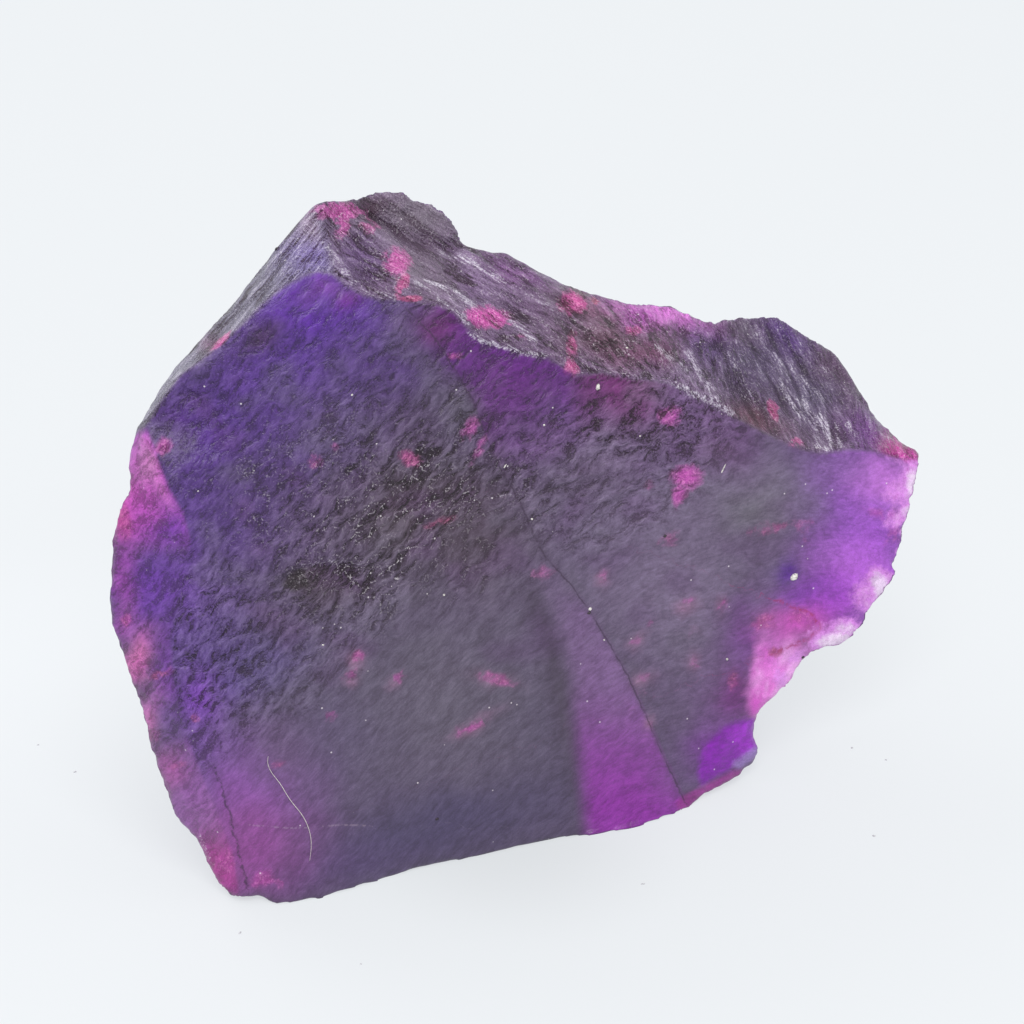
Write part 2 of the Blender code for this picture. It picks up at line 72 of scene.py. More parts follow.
RIGHT = np.array([math.cos(YAW), -math.sin(YAW), 0.0])
UP = np.array([math.sin(YAW) * math.sin(PITCH), math.cos(YAW) * math.sin(PITCH), math.cos(PITCH)])
TOWARDS = np.array([-math.sin(YAW) * math.cos(PITCH), -math.cos(YAW) * math.cos(PITCH), math.sin(PITCH)])
FACE = np.array([0.0, -math.cos(LEAN), math.sin(LEAN)])
CENTRE = ((SHEET / 2 - FOOT[0]) * RIGHT + (FOOT[1] - SHEET / 2) * UP) * UNIT - ORIGIN
EYE_POINT = CENTRE + EYE * UNIT * TOWARDS


def sheet_of(points):
    d = points - EYE_POINT
    depth = d @ -TOWARDS
    return SHEET / 2 + (d @ RIGHT) / depth * EYE, SHEET / 2 - (d @ UP) / depth * EYE


def ray(x, y):
    return CENTRE + ((x - SHEET / 2) * RIGHT + (SHEET / 2 - y) * UP) * UNIT - EYE_POINT


# Edges of the stone on the sheet, as in the solid's drawing.
RIDGE = [
    (100, 470), (151, 418), (163, 398), (180, 375), (203, 358), (224, 341), (244, 323), (264, 303),
    (284, 286), (301, 276), (318, 271), (333, 274), (347, 286), (364, 296), (382, 300),
    (400, 300), (418, 303), (438, 305), (454, 313), (466, 326), (480, 341), (503, 347),
    (528, 355), (547, 357), (562, 366), (577, 375), (602, 372), (628, 378), (655, 380),
    (676, 386), (702, 401), (731, 415), (757, 428), (780, 440), (801, 449), (822, 453),
    (846, 449), (871, 450), (895, 457), (940, 462),
]
SIDE_EDGE = [
    (146, 425), (158, 462), (168, 488), (182, 512), (190, 540), (186, 572), (176, 606),
    (170, 640), (173, 676), (181, 712), (192, 750), (206, 786), (220, 820), (232, 852), (241, 905),
]
CRACK = [
    (406, 308), (433, 336), (449, 361), (463, 383), (472, 400), (483, 429), (491, 450),
    (498, 465), (507, 479), (520, 502), (534, 536), (545, 556), (575, 590), (590, 612), (610, 645), (630, 680), (650, 725), (665, 760), (684, 800),
]
STEP = [(524, 580), (536, 612), (548, 645), (555, 680), (565, 740), (572, 790), (578, 850)]
HEEL_CRACK = [(214, 765), (224, 795), (232, 825), (238, 850), (247, 885)]


RIM = [(920, 458), (914, 500), (905, 540), (895, 580), (866, 628), (810, 656), (780, 690), (757, 715), (757, 760), (684, 808)]


# ---------------------------------------------------------------- numbers
def smooth(a, b, x):
    t = np.clip((x - a) / (b - a), 0, 1)
    return t * t * (3 - 2 * t)


def hashed(i, seed):
    h = (i[..., 0] * 374761393 + i[..., 1] * 668265263 + i[..., 2] * 2147483647 + seed * 1274126177) & 0xFFFFFFFF
    h = ((h ^ (h >> 13)) * 1274126177) & 0xFFFFFFFF
    return (h ^ (h >> 16)) & 0xFFFFFFFF


def noise(p, seed):
    """Gradient noise, about -1 to 1, at points p."""
    p = np.asarray(p, float)
    cell = np.floor(p).astype(np.int64)
    f = p - cell
    s = f * f * f * (f * (f * 6 - 15) + 10)
    total = np.zeros(len(p))
    for dx in (0, 1):
        for dy in (0, 1):
            for dz in (0, 1):
                corner = np.array([dx, dy, dz])
                h = hashed(cell + corner, seed)
                a = (h & 0xFFFF) / 65536.0 * 2 * math.pi
                c = ((h >> 16) & 0xFFFF) / 65535.0 * 2 - 1
                r = np.sqrt(np.maximum(0, 1 - c * c))
                g = np.stack([r * np.cos(a), r * np.sin(a), c], axis=1)
                w = np.prod(np.where(corner, s, 1 - s), axis=1)
                total += w * np.einsum("ij,ij->i", g, f - corner)
    return total * 1.6


def plane_noise(u, v, seed):
    return noise(np.stack([u, v, np.full(len(u), 0.37)], axis=1), seed)


def ridged(n):
    return 1 - 2 * np.abs(n)


def line_distance(x, y, line):
    """Distance to a drawn line, negative on its left as one walks along it, and how far
    along it the nearest place is, from 0 to 1."""
    best = np.full(len(x), 1e9)
    signed = np.zeros(len(x))
    along = np.zeros(len(x))
    lengths = [math.dist(a, b) for a, b in zip(line, line[1:])]
    start, total = 0.0, sum(lengths)
    for (ax, ay), (bx, by), length in zip(line, line[1:], lengths):
        dx, dy = (bx - ax) / length, (by - ay) / length
        t = np.clip((x - ax) * dx + (y - ay) * dy, 0, length)
        px, py = x - ax - t * dx, y - ay - t * dy
        d = np.hypot(px, py)
        side = dx * (y - ay) - dy * (x - ax)
        near = d < best
        best = np.where(near, d, best)
        signed = np.where(near, np.where(side > 0, d, -d), signed)
        along = np.where(near, (start + t) / total, along)
        start += length
    return signed, along


def blob(x, y, cx, cy, rx, ry, turn=0.0):
    """1 in the middle of a soft oval patch, falling to 0 outside.  turn in degrees, anticlockwise."""
    a = math.radians(turn)
    u = ((x - cx) * math.cos(a) - (y - cy) * math.sin(a)) / rx
    v = ((x - cx) * math.sin(a) + (y - cy) * math.cos(a)) / ry
    return np.exp(-(u * u + v * v))


def scars(p, seed):
    """Distances to the nearest and the second nearest of points scattered one to a cell, and
    a number from 0 to 1 that goes with the nearest."""
    cell = np.floor(p).astype(np.int64)
    first, second, kind = np.full(len(p), 9.0), np.full(len(p), 9.0), np.zeros(len(p))
    for dx in (-1, 0, 1):
        for dy in (-1, 0, 1):
            for dz in (-1, 0, 1):
                here = cell + np.array([dx, dy, dz])
                h = hashed(here, seed)
                at = here + np.stack([(h >> s & 0x3FF) / 1023.0 for s in (0, 10, 20)], axis=1)
                d = np.linalg.norm(p - at, axis=1)
                kind = np.where(d < first, (h >> 7 & 0xFFFF) / 65535.0, kind)
                second = np.minimum(second, np.maximum(d, first))
                first = np.minimum(first, d)
    return first, second, kind


# ---------------------------------------------------------------- the skin
def evaluated(obj):
    graph = bpy.context.evaluated_depsgraph_get()
    graph.update()
    return bpy.data.meshes.new_from_object(obj.evaluated_get(graph))


def vectors(mesh, what):
    out = np.empty(len(mesh.vertices) * 3)
    mesh.vertices.foreach_get(what, out)
    return out.reshape(-1, 3)


def edges_of(mesh):
    out = np.empty(len(mesh.edges) * 2, dtype=np.int64)
    mesh.edges.foreach_get("vertices", out)
    return out.reshape(-1, 2)


def neighbour_mean(values, pairs, degree):
    total = np.zeros_like(values)
    for k in range(values.shape[1]):
        total[:, k] = np.bincount(pairs[:, 0], values[pairs[:, 1], k], len(values))
        total[:, k] += np.bincount(pairs[:, 1], values[pairs[:, 0], k], len(values))
    return total / degree[:, None]


class Zones:
    """Which part of the stone each place on its skin belongs to, as soft masks."""

    def __init__(self, co, normal):
        self.co, self.normal = co, normal
        self.x, self.y = sheet_of(co)
        x, y = self.x, self.y
        faces_eye = normal @ TOWARDS
        self.faces_eye = faces_eye
        self.near = smooth(-0.10, 0.12, faces_eye)
        self.far = 1 - self.near
        above, _ = line_distance(x, y, RIDGE)  # negative above the ridge
        left, _ = line_distance(x, y, SIDE_EDGE)  # positive on the left of the edge
        self.above, self.left = above, left
        over = smooth(3, -3, above)
        side = smooth(-2.5, 2.5, left) * smooth(424, 440, y)
        bevel = over * smooth(345, 325, x + (271 - y) * 0.2)
        self.bevel = self.near * bevel
        self.top = self.near * over * (1 - bevel)
        self.side = self.near * (1 - over) * side
        self.face = self.near * (1 - over) * (1 - side)
        self.lobe = self.top * smooth(690, 722, x - (y - 330) * 0.25)
        self.knob = self.top * blob(x, y, 420, 220, 58, 36)
        mm = 1e-3
        self.wide = co + 1.2 * mm * np.stack([noise(co / (5 * mm), 45), noise(co / (5 * mm), 46), noise(co / (5 * mm), 47)], axis=1)
        self.sole = smooth(-0.80, -0.97, normal[:, 2]) * smooth(0.0008, 0.0002, co[:, 2])


def top_grain(x, y):
    """Along and across the striations of the top surfaces, which turn as they go right."""
    xs = np.array([250, 300, 340, 400, 440, 560, 620, 680, 740, 850, 915, 960.0])
    turn = np.radians([56, 55, 52, 38, 31, 30, 36, 48, 56, 58, 46, 45])
    grid = np.arange(250, 961, 1.0)
    slope = np.tan(np.interp(grid, xs, turn))
    fall = np.concatenate([[0], np.cumsum((slope[1:] + slope[:-1]) / 2)])
    turn_here = np.interp(x, xs, turn)
    across = (y - np.interp(x, grid, fall)) * np.cos(turn_here)
    return x / np.cos(turn_here), across


def face_grain(x, y):
    """Along and across the hackles of the broad face, which flatten as they go right."""
    xs = np.array([90, 200, 300, 400, 500, 640, 800, 930.0])
    turn = np.radians([36, 35, 33, 30, 25, 20, 21, 28])
    grid = np.arange(90, 941, 1.0)
    slope = np.tan(np.interp(grid, xs, turn))
    rise = np.concatenate([[0], np.cumsum((slope[1:] + slope[:-1]) / 2)])
    turn_here = np.interp(x, xs, turn)
    return x / np.cos(turn_here), (y + np.interp(x, grid, rise)) * np.cos(turn_here)


def side_grain(z):
    """Along and across the striations of the bevelled shoulder."""
    a = math.radians(50)
    return z.x * math.cos(a) - z.y * math.sin(a), z.x * math.sin(a) + z.y * math.cos(a)


def rough_mask(z):
    """Where the broad face is hackled and sparkling, and not smooth."""
    x, y = z.x, z.y
    edge, _ = line_distance(x, y, [
        (120, 830), (250, 745), (330, 690), (356, 655), (386, 628), (415, 580), (440, 545),
        (490, 500), (560, 560), (640, 540), (720, 470), (760, 420), (800, 380),
    ])
    wander = 14 * plane_noise(x / 40, y / 40, 31)
    return smooth(26, -26, edge + wander)


# Ribs and hollows of the top: a line, its width above and below, and its height.
RIBS = [
    ([(310, 208), (315, 222), (322, 254), (347, 283), (384, 298), (404, 300)], 5, 7, 0.26),
    ([(329, 236), (340, 264), (356, 287)], 4, 5, 0.14),
    ([(356, 208), (384, 234), (398, 252), (420, 275), (457, 303), (482, 328)], 5, 9, 0.22),
    ([(352, 232), (366, 262), (388, 284)], 10, 10, -0.24),
    ([(362, 212), (396, 228), (428, 243), (458, 252)], 6, 5, -0.34),
    ([(372, 200), (398, 198), (404, 214)], 9, 12, 0.20),
    ([(405, 205), (418, 226), (434, 244)], 4, 9, -0.16),
    ([(424, 204), (446, 218), (456, 240)], 10, 10, 0.22),
    ([(446, 248), (479, 264), (512, 286), (548, 306), (580, 318)], 4, 9, 0.28),
    ([(440, 266), (474, 284), (506, 304), (536, 322)], 7, 5, -0.24),
    ([(410, 282), (438, 290), (462, 302), (486, 322)], 5, 6, 0.20),
    ([(486, 258), (520, 268), (556, 290), (596, 306)], 6, 6, 0.16),
    ([(474, 336), (500, 345), (530, 350), (562, 358)], 3, 5, 0.18),
    ([(560, 296), (572, 320), (570, 350)], 8, 8, -0.20),
    ([(584, 322), (612, 336), (646, 346)], 5, 7, 0.18),
    ([(600, 352), (640, 360), (664, 372)], 7, 7, -0.22),
    ([(622, 312), (660, 330), (704, 334)], 6, 8, -0.22),
    ([(650, 345), (676, 374), (704, 398), (734, 416)], 4, 6, 0.26),
    ([(684, 346), (704, 378), (724, 402)], 5, 8, 0.18),
    ([(715, 330), (722, 362), (752, 400), (784, 438)], 9, 9, -0.28),
    ([(738, 330), (752, 360), (770, 392), (790, 424)], 4, 9, 0.20),
    ([(756, 322), (770, 349), (783, 378), (795, 404), (806, 434)], 5, 10, 0.24),
    ([(785, 350), (801, 378), (817, 402), (831, 434)], 4, 9, 0.24),
    ([(800, 366), (826, 396), (852, 432)], 4, 8, 0.20),
    ([(812, 346), (838, 384), (862, 418), (890, 446)], 6, 10, 0.20),
    ([(776, 330), (796, 360), (812, 384)], 5, 5, -0.14),
]


def relief(z):
    """How far the skin stands out from the solid, in metres, and how high each place is
    among its neighbours, from -1 in a hollow to 1 on a crest."""
    x, y, co = z.x, z.y, z.co
    mm = 1e-3
    # the broad face: ruffled hackles, rough up and left, faint down and right
    along, across = face_grain(x, y)
    rough = rough_mask(z)
    along = along + 16 * plane_noise(x / 52, y / 52, 51) + 6 * plane_noise(x / 21, y / 21, 53)
    across = across + 15 * plane_noise(x / 52, y / 52, 52) + 6 * plane_noise(x / 21, y / 21, 54)
    swell = plane_noise(along / 66, across / 36, 14)
    a = ridged(plane_noise(along / 36, across / 18, 12))
    b = ridged(plane_noise(along / 17, across / 9.5, 13))
    patchy = 0.75 + 0.35 * plane_noise(x / 60, y / 60, 15)
    # where the hackles hang straight down
    hang = ridged(plane_noise(x / 9 + 0.6 * plane_noise(x / 30, y / 30, 34), y / 44, 33)) * blob(x, y, 488, 560, 62, 48)
    face = (0.13 * swell + 0.12 * a + 0.06 * b) * (0.13 + 0.87 * rough) * patchy
    face += 0.05 * plane_noise(x / 90, y / 60, 16) + 0.05 * hang
    crest = z.face * (0.40 * swell + 0.38 * a + 0.30 * b + 0.8 * hang)
    # the shell-shaped break in its middle, and a lower crest value under it, which the material paints darker as shade
    shell, t = line_distance(x, y, [(276, 582), (292, 570), (320, 562), (346, 561), (366, 567)])
    ends = smooth(0.0, 0.14, t) * smooth(1.0, 0.86, t)
    bitten = ends * smooth(-2, 3, shell) * smooth(46, 4, shell)
    face -= 0.30 * bitten
    crest -= 0.9 * z.face * ends * smooth(-1, 4, shell) * smooth(26, 8, shell)
    arc, t = line_distance(x, y, [(476, 506), (488, 498), (503, 494), (522, 497)])
    face -= 0.12 * smooth(0, 0.2, t) * smooth(1, 0.8, t) * smooth(2, -2, arc) * smooth(-26, -3, arc)
    # the step and the facet between it and the long crack
    step, t = line_distance(x, y, STEP)  # negative on the right, seen walking down
    crack, tc = line_distance(x, y, CRACK)
    between = smooth(4, -12, step) * smooth(-3, 3, crack)
    width = np.maximum(np.abs(step) + np.abs(crack), 1)
    face -= 0.34 * smooth(575, 660, y) * between * np.clip(np.abs(crack) / width, 0, 1)
    face -= (0.05 + 0.07 * smooth(500, 460, y)) * smooth(0, -4, crack) * smooth(-60, -5, crack)
    face -= 0.035 * np.exp(-(crack / 2.6) ** 2)
    heel, th = line_distance(x, y, HEEL_CRACK)
    face -= 0.09 * np.exp(-(heel / 3.5) ** 2)
    rim, _ = line_distance(x, y, RIM)
    rim = smooth(22, 4, np.abs(rim))
    face += rim * (0.10 * noise(co / (0.8 * mm), 17) + 0.08 * noise(co / (1.7 * mm), 18))
    out = z.face * face
    # the rounded left side: knobbly and chipped
    k1, k2 = noise(co / (1.9 * mm), 21), noise(co / (0.85 * mm), 22)
    worn = 1 - 0.65 * smooth(725, 775, y)
    out += z.side * (0.15 * k1 + 0.07 * k2) * worn
    crest += z.side * (0.7 * k1 + 0.7 * k2) * worn
    # small chips all along the outline
    out += 0.11 * noise(co / (0.75 * mm), 19) * smooth(0.34, 0.06, np.abs(z.faces_eye)) * smooth(330, 430, y)
    # the bevelled shoulder: striated along its length
    along, across = side_grain(z)
    across = across + 2.0 * plane_noise(x / 22, y / 22, 55)
    b1, b2 = ridged(plane_noise(along / 90, across / 9, 23)), noise(co / (1.2 * mm), 24)
    out += z.bevel * (0.085 * b1 + 0.05 * b2)
    crest += z.bevel * (0.6 * b1 + 0.5 * b2)
    # the top: ribs and hollows, and striations that run with them
    along, across = top_grain(x, y)
    across = across + 5.0 * plane_noise(x / 26, y / 20, 25)
    big = ridged(plane_noise(along / 110, across / 19, 26))
    mid = ridged(plane_noise(along / 50, across / 9, 27))
    lumps, bumps = noise(co / (2.4 * mm), 29), noise(co / (1.0 * mm), 30)
    top = (0.12 * big + 0.085 * mid) * (1 - 0.85 * z.knob) + 0.13 * lumps + 0.07 * bumps * (1 - 0.7 * z.knob)
    ribs = np.zeros(len(x))
    for line, wide_above, wide_below, height in RIBS:
        d, t = line_distance(x, y, line)
        profile = np.exp(-(d / np.where(d < 0, wide_above, wide_below)) ** 2)
        ribs += height * profile * smooth(0, 0.12, t) * smooth(1, 0.88, t)
    out += z.top * (top + 1.25 * ribs)
    crest += z.top * (0.35 * big + 0.30 * mid + 0.30 * lumps + 0.3 * bumps + 2.6 * ribs)
    # the far side: plain broken faces with hackles of their own
    wide = z.wide
    a = ridged(noise(wide @ turned(34, 12) / np.array([4.6, 1.3, 4.6]) / mm, 41))
    b = ridged(noise(wide @ turned(-18, 40) / np.array([2.4, 0.8, 2.4]) / mm, 42))
    c = noise(co / (3.1 * mm), 43)
    where = 0.35 + 0.65 * smooth(-0.3, 0.5, noise(co / (9 * mm), 44))
    scoop, edge, shade = scar_field(wide)
    deep = smooth(0.0, -0.45, z.faces_eye) * smooth(2.5 * mm, 6.0 * mm, z.thickness)
    out += z.far * ((0.13 * a + 0.07 * b) * where + 0.12 * c + scoop * deep)
    crest += z.far * (0.40 * a * where + 0.3 * b * where + 0.30 * c + 0.7 * scoop + 0.35 * edge + 0.45 * shade)
    return out * mm * (1 - z.sole), np.clip(crest, -1.3, 1.3)


def scar_field(p):
    """The scooped scars of the far side, in mm below their rims, their sharp rims, and how
    light or dark each is, from -1 to 1."""
    big, big2, which = scars(p @ turned(25, 20) / np.array([15e-3, 9e-3, 10e-3]), 65)
    small, small2, which2 = scars(p @ turned(-30, 55) / np.array([7e-3, 4.2e-3, 5e-3]), 66)
    ripple = np.sin(big * 34) * smooth(0.1, 0.35, big) * 0.035
    scoop = 1.35 * (np.minimum(big, 1) ** 2 - 0.55) + 0.50 * (np.minimum(small, 1) ** 2 - 0.50) + ripple
    edge = np.maximum(smooth(0.07, 0.0, big2 - big), 0.5 * smooth(0.08, 0.0, small2 - small))
    shade = (which * 2 - 1) * smooth(0.0, 0.05, big2 - big) * 0.6 + (which2 * 2 - 1) * smooth(0.0, 0.06, small2 - small) * 0.4
    return scoop, edge, shade


def turned(a, b):
    a, b = math.radians(a), math.radians(b)
    ca, sa, cb, sb = math.cos(a), math.sin(a), math.cos(b), math.sin(b)
    return np.array([[ca, -sa, 0], [sa, ca, 0], [0, 0, 1]]) @ np.array([[1, 0, 0], [0, cb, -sb], [0, sb, cb]])


def thickness(co, normal, mesh, pairs, degree):
    """How thick the stone is under each place on its skin, up to 20 mm."""
    tree = BVHTree.FromPolygons([tuple(v) for v in co], [tuple(p.vertices) for p in mesh.polygons])
    thick = np.full(len(co), 0.02)
    for i in range(len(co)):
        n = Vector(normal[i])
        hit = tree.ray_cast(Vector(co[i]) - n * 1.5e-4, -n, 0.02)
        if hit[0] is not None:
            thick[i] = hit[3] + 1.5e-4
    thick = thick[:, None]
    for _ in range(5):
        thick = 0.5 * thick + 0.5 * neighbour_mean(thick, pairs, degree)
    return thick[:, 0]


def make_skin():
    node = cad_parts["stone"]
    mesh = node.data.copy()
    skin = bpy.data.objects.new("stone_skin", mesh)
    bpy.context.scene.collection.objects.link(skin)
    weld = skin.modifiers.new("weld", "WELD")
    weld.merge_threshold = 1e-6
    even = skin.modifiers.new("even", "REMESH")
    even.mode = "VOXEL"
    even.voxel_size = VOXEL
    fine = evaluated(skin)
    skin.modifiers.clear()
    skin.data = fine

    co = vectors(fine, "co")
    pairs = edges_of(fine)
    degree = np.bincount(pairs.ravel(), minlength=len(co)).astype(float)
    on_floor = co[:, 2] < 0.06e-3
    for _ in range(4):
        co = co + 0.55 * (neighbour_mean(co, pairs, degree) - co)
    co[on_floor, 2] = 0.0
    fine.vertices.foreach_set("co", co.ravel())
    fine.update()
    normal = vectors(fine, "normal")
    z = Zones(co, normal)
    z.thickness = thickness(co, normal, fine, pairs, degree)
    lift, _ = relief(z)
    lift *= smooth(0.0, 0.5e-3, co[:, 2]) * 0.9 + 0.1 * (~on_floor)
    co = co + normal * lift[:, None]
    low, high = np.array(cad_box[0]), np.array(cad_box[1])
    co = np.clip(co, low + 1e-6, high - 1e-6)
    pitted = 0.5 * noise(co / 3.4e-3, 56) + 0.3 * noise(co / 1.3e-3, 57) + 0.25
    co[on_floor, 2] = np.clip(pitted, 0, 1)[on_floor] * 0.30e-3
    fine.vertices.foreach_set("co", co.ravel())
    fine.update()

    faces = 2 * len(fine.polygons)
    print("skin quads", len(fine.polygons), "as triangles", faces)
    if faces > MOST_TRIANGLES:
        thin = skin.modifiers.new("thin", "DECIMATE")
        thin.ratio = MOST_TRIANGLES / faces
        simpler = evaluated(skin)
        skin.modifiers.clear()
        skin.data = simpler
        kept = np.clip(vectors(simpler, "co"), low + 1e-6, high - 1e-6)
        simpler.vertices.foreach_set("co", kept.ravel())
        simpler.update()
    skin.data.materials.clear()
    skin.data.shade_smooth()
    print("skin triangles", sum(len(p.vertices) - 2 for p in skin.data.polygons))
    return skin


# ---------------------------------------------------------------- paint
def tone(r, g, b):
    """A colour as a swatch book gives it, 0 to 255, in linear light."""
    v = np.array([r, g, b]) / 255.0
    return np.where(v < 0.04045, v / 12.92, ((v + 0.055) / 1.055) ** 2.4)


class Coat:
    """Colour laid over the whole skin, one soft patch after another."""

    def __init__(self, z, first):
        self.z = z
        self.rgb = np.tile(tone(*first), (len(z.x), 1))
        self.drift = 9 * plane_noise(z.x / 30, z.y / 30, 61), 9 * plane_noise(z.x / 30, z.y / 30, 62)

    def lay(self, mask, colour, strength=1.0):
        w = np.clip(mask * strength, 0, 1)[:, None]
        self.rgb = self.rgb * (1 - w) + tone(*colour) * w

    def patch(self, where, cx, cy, rx, ry, turn, colour, strength=1.0, crisp=0.0):
        z = self.z
        m = blob(z.x + self.drift[0], z.y + self.drift[1], cx, cy, rx, ry, turn)
        if crisp:
            m = smooth(0.37 - 0.3 * (1 - crisp), 0.37 + 0.3 * (1 - crisp), m)
        self.lay(where * m, colour, strength)


def inside_of(x, y, corners, soft):
    """1 inside a patch with straight sides, its corners listed clockwise on the sheet."""
    out = np.ones(len(x))
    for (ax, ay), (bx, by) in zip(corners, corners[1:] + corners[:1]):
        length = math.hypot(bx - ax, by - ay)
        out *= smooth(-soft, soft, ((bx - ax) * (y - ay) - (by - ay) * (x - ax)) / length)
    return out


def painted(z):
    x, y = z.x, z.y
    c = Coat(z, (80, 66, 94))
    face = z.face + z.far * 1.0
    p = c.patch
    low_side = z.side * smooth(520, 575, y)
    broad = np.clip(face + low_side, 0, 1)
    # the broad face, from its middle outwards
    p(broad, 300, 520, 120, 90, 30, (72, 50, 90), 0.8)
    p(broad, 262, 375, 150, 95, 40, (74, 36, 122), 0.95)
    p(broad, 200, 500, 66, 100, 0, (72, 40, 113), 0.9)
    p(broad, 380, 370, 80, 50, 20, (68, 38, 104), 0.8)
    p(broad, 420, 430, 60, 50, 20, (70, 48, 86), 0.7)
    p(broad, 410, 510, 92, 66, 25, (50, 35, 42), 0.92)
    p(broad, 480, 545, 60, 56, 0, (62, 45, 58), 0.75)
    p(broad, 318, 300, 54, 32, 0, (84, 26, 150), 0.97)
    p(broad, 300, 340, 50, 34, 30, (70, 32, 120), 0.6)
    p(broad, 262, 337, 26, 13, 30, (58, 34, 66), 0.75)
    p(broad, 150, 590, 52, 64, 0, (96, 45, 148), 0.9)
    p(broad, 215, 655, 60, 50, 0, (72, 42, 118), 0.7)
    p(broad, 262, 668, 44, 24, 25, (74, 48, 132), 0.55)
    p(broad, 300, 620, 60, 36, 30, (70, 56, 86), 0.5)
    # the two dark patches under the shell-shaped break: painted shade in its hollow
    p(broad, 340, 590, 56, 26, 8, (62, 44, 66), 0.7)
    p(broad, 320, 582, 32, 12, 8, (48, 36, 44), 0.8)
    # the grey patches at (450, 700), (675, 590), (690, 500), (770, 490) and (765, 512): partly the stone's tone, partly
    # a painted sheen, the pale floor reflected in the face
    p(broad, 450, 700, 150, 100, 10, (91, 83, 100), 0.92)
    p(broad, 330, 740, 60, 60, 0, (84, 72, 102), 0.6)
    p(broad, 540, 730, 40, 60, 0, (78, 68, 92), 0.6)
    p(broad, 675, 590, 108, 88, -30, (110, 95, 122), 0.92)
    p(broad, 690, 500, 100, 50, 15, (103, 88, 115), 0.8)
    p(broad, 770, 490, 80, 40, 0, (108, 97, 119), 0.85)
    p(broad, 765, 512, 46, 22, 20, (96, 96, 98), 0.5)
    p(broad, 430, 828, 150, 32, 12, (68, 58, 92), 0.9)
    p(broad, 350, 868, 90, 22, 12, (76, 60, 102), 0.7)
    p(broad, 240, 790, 66, 50, 0, (130, 76, 154), 0.9)
    p(broad, 245, 850, 60, 46, 0, (138, 64, 140), 0.92)
    p(broad, 200, 745, 36, 40, 0, (96, 60, 132), 0.7)
    # the band of purple under the ridge
    below = smooth(80, 10, z.above) * smooth(-2, 3, z.above) * face
    c.lay(below * smooth(425, 450, x) * smooth(600, 560, x), (80, 0, 108), 0.96)
    c.lay(below * smooth(560, 590, x) * smooth(690, 640, x), (90, 12, 86), 0.90)
    c.lay(below * smooth(640, 680, x) * smooth(790, 730, x), (102, 66, 116), 0.6)
    p(face, 436, 324, 28, 26, 0, (96, 26, 96), 0.75)
    p(face, 520, 430, 50, 34, 10, (78, 46, 100), 0.6)
    p(face, 655, 455, 60, 30, 15, (82, 54, 98), 0.6)
    p(face, 600, 470, 60, 30, 15, (88, 70, 96), 0.5)
    # the facet between the step and the crack
    step, _ = line_distance(x, y, STEP)
    crack, _ = line_distance(x, y, CRACK)
    wedge = face * smooth(0, -34, step) * smooth(-4, 4, crack)
    c.lay(wedge * smooth(540, 680, y), (117, 84, 132), 0.87)
    c.lay(face * smooth(2, -22, step) * smooth(-4, 4, crack) * smooth(670, 790, y), (130, 40, 146), 0.92)
    # a darker band along the step: painted shade on the step
    band = face * np.exp(-((step + 3) / 12.0) ** 2) * smooth(550, 620, y) * (1 - 0.55 * smooth(700, 800, y))
    c.lay(band, (62, 48, 70), 0.72)
    p(face, 690, 770, 40, 26, 30, (96, 76, 112), 0.5)
    # higher up, the stone is more violet beyond the crack
    beyond = face * smooth(1.5, -1.5, crack)
    p(beyond, 500, 398, 48, 46, 20, (84, 28, 104), 0.78)
    p(beyond, 482, 424, 26, 34, 20, (80, 32, 96), 0.6)
    p(face * smooth(-1.5, 1.5, crack), 458, 410, 26, 34, 20, (70, 64, 78), 0.6)
    p(beyond, 546, 442, 36, 20, 15, (98, 60, 114), 0.5)
    p(face, 474, 486, 32, 26, 20, (58, 38, 60), 0.6)
    # the cap below the apex, and darker violet down the left
    p(face, 324, 288, 26, 13, 10, (126, 42, 168), 0.65)
    p(face, 352, 300, 16, 11, 20, (116, 42, 132), 0.55)
    p(face, 298, 314, 22, 14, 0, (82, 16, 148), 0.6)
    p(face, 205, 440, 38, 32, 30, (60, 16, 110), 0.85)
    p(broad, 178, 432, 24, 26, 30, (76, 30, 116), 0.6)
    p(face, 256, 482, 46, 32, 30, (62, 36, 88), 0.5)
    p(face, 332, 420, 38, 26, 20, (88, 74, 108), 0.45)
    p(broad, 196, 702, 24, 30, 0, (108, 44, 160), 0.75)
    p(broad, 284, 758, 26, 32, 0, (90, 74, 100), 0.5)
    p(face, 722, 450, 24, 16, 10, (106, 80, 112), 0.5)
    p(beyond, 522, 388, 32, 22, 20, (84, 10, 106), 0.5)
    # painted shade in the hollow of the shell-shaped break
    p(face, 330, 590, 36, 16, -10, (56, 38, 56), 0.5)
    c.lay(face * inside_of(x + 0.25 * c.drift[0], y + 0.25 * c.drift[1], [(280, 586), (288, 576), (300, 569), (314, 565), (327, 566), (323, 577), (310, 586), (294, 591)], 2.0), (58, 48, 52), 0.72)
    # colours drift within the face
    drift = noise(np.stack([x / 46, y / 34, x * 0 + 0.5], axis=1), 63)
    c.lay(face * smooth(0.15, 0.7, drift) * smooth(760, 640, y), (82, 44, 96), 0.28)
    c.lay(face * smooth(0.15, 0.7, -drift) * smooth(760, 640, y), (82, 76, 90), 0.30)
    # small dusty flecks on the smooth part
    for cx, cy, rx, ry, turn in (
        (688, 601, 10, 5, 20), (722, 605, 5, 9, 0), (634, 643, 9, 5, 30), (692, 633, 5, 5, 0), (643, 679, 8, 8, 0),
        (603, 577, 6, 7, 0), (652, 726, 6, 8, 0), (696, 662, 7, 7, 0), (397, 679, 6, 6, 0), (358, 656, 7, 8, 0),
        (350, 678, 8, 5, 30), (474, 726, 22, 5, 30), (497, 679, 20, 6, -14),
    ):
        p(face, cx, cy, rx, ry, turn, (146, 106, 138), 0.75)
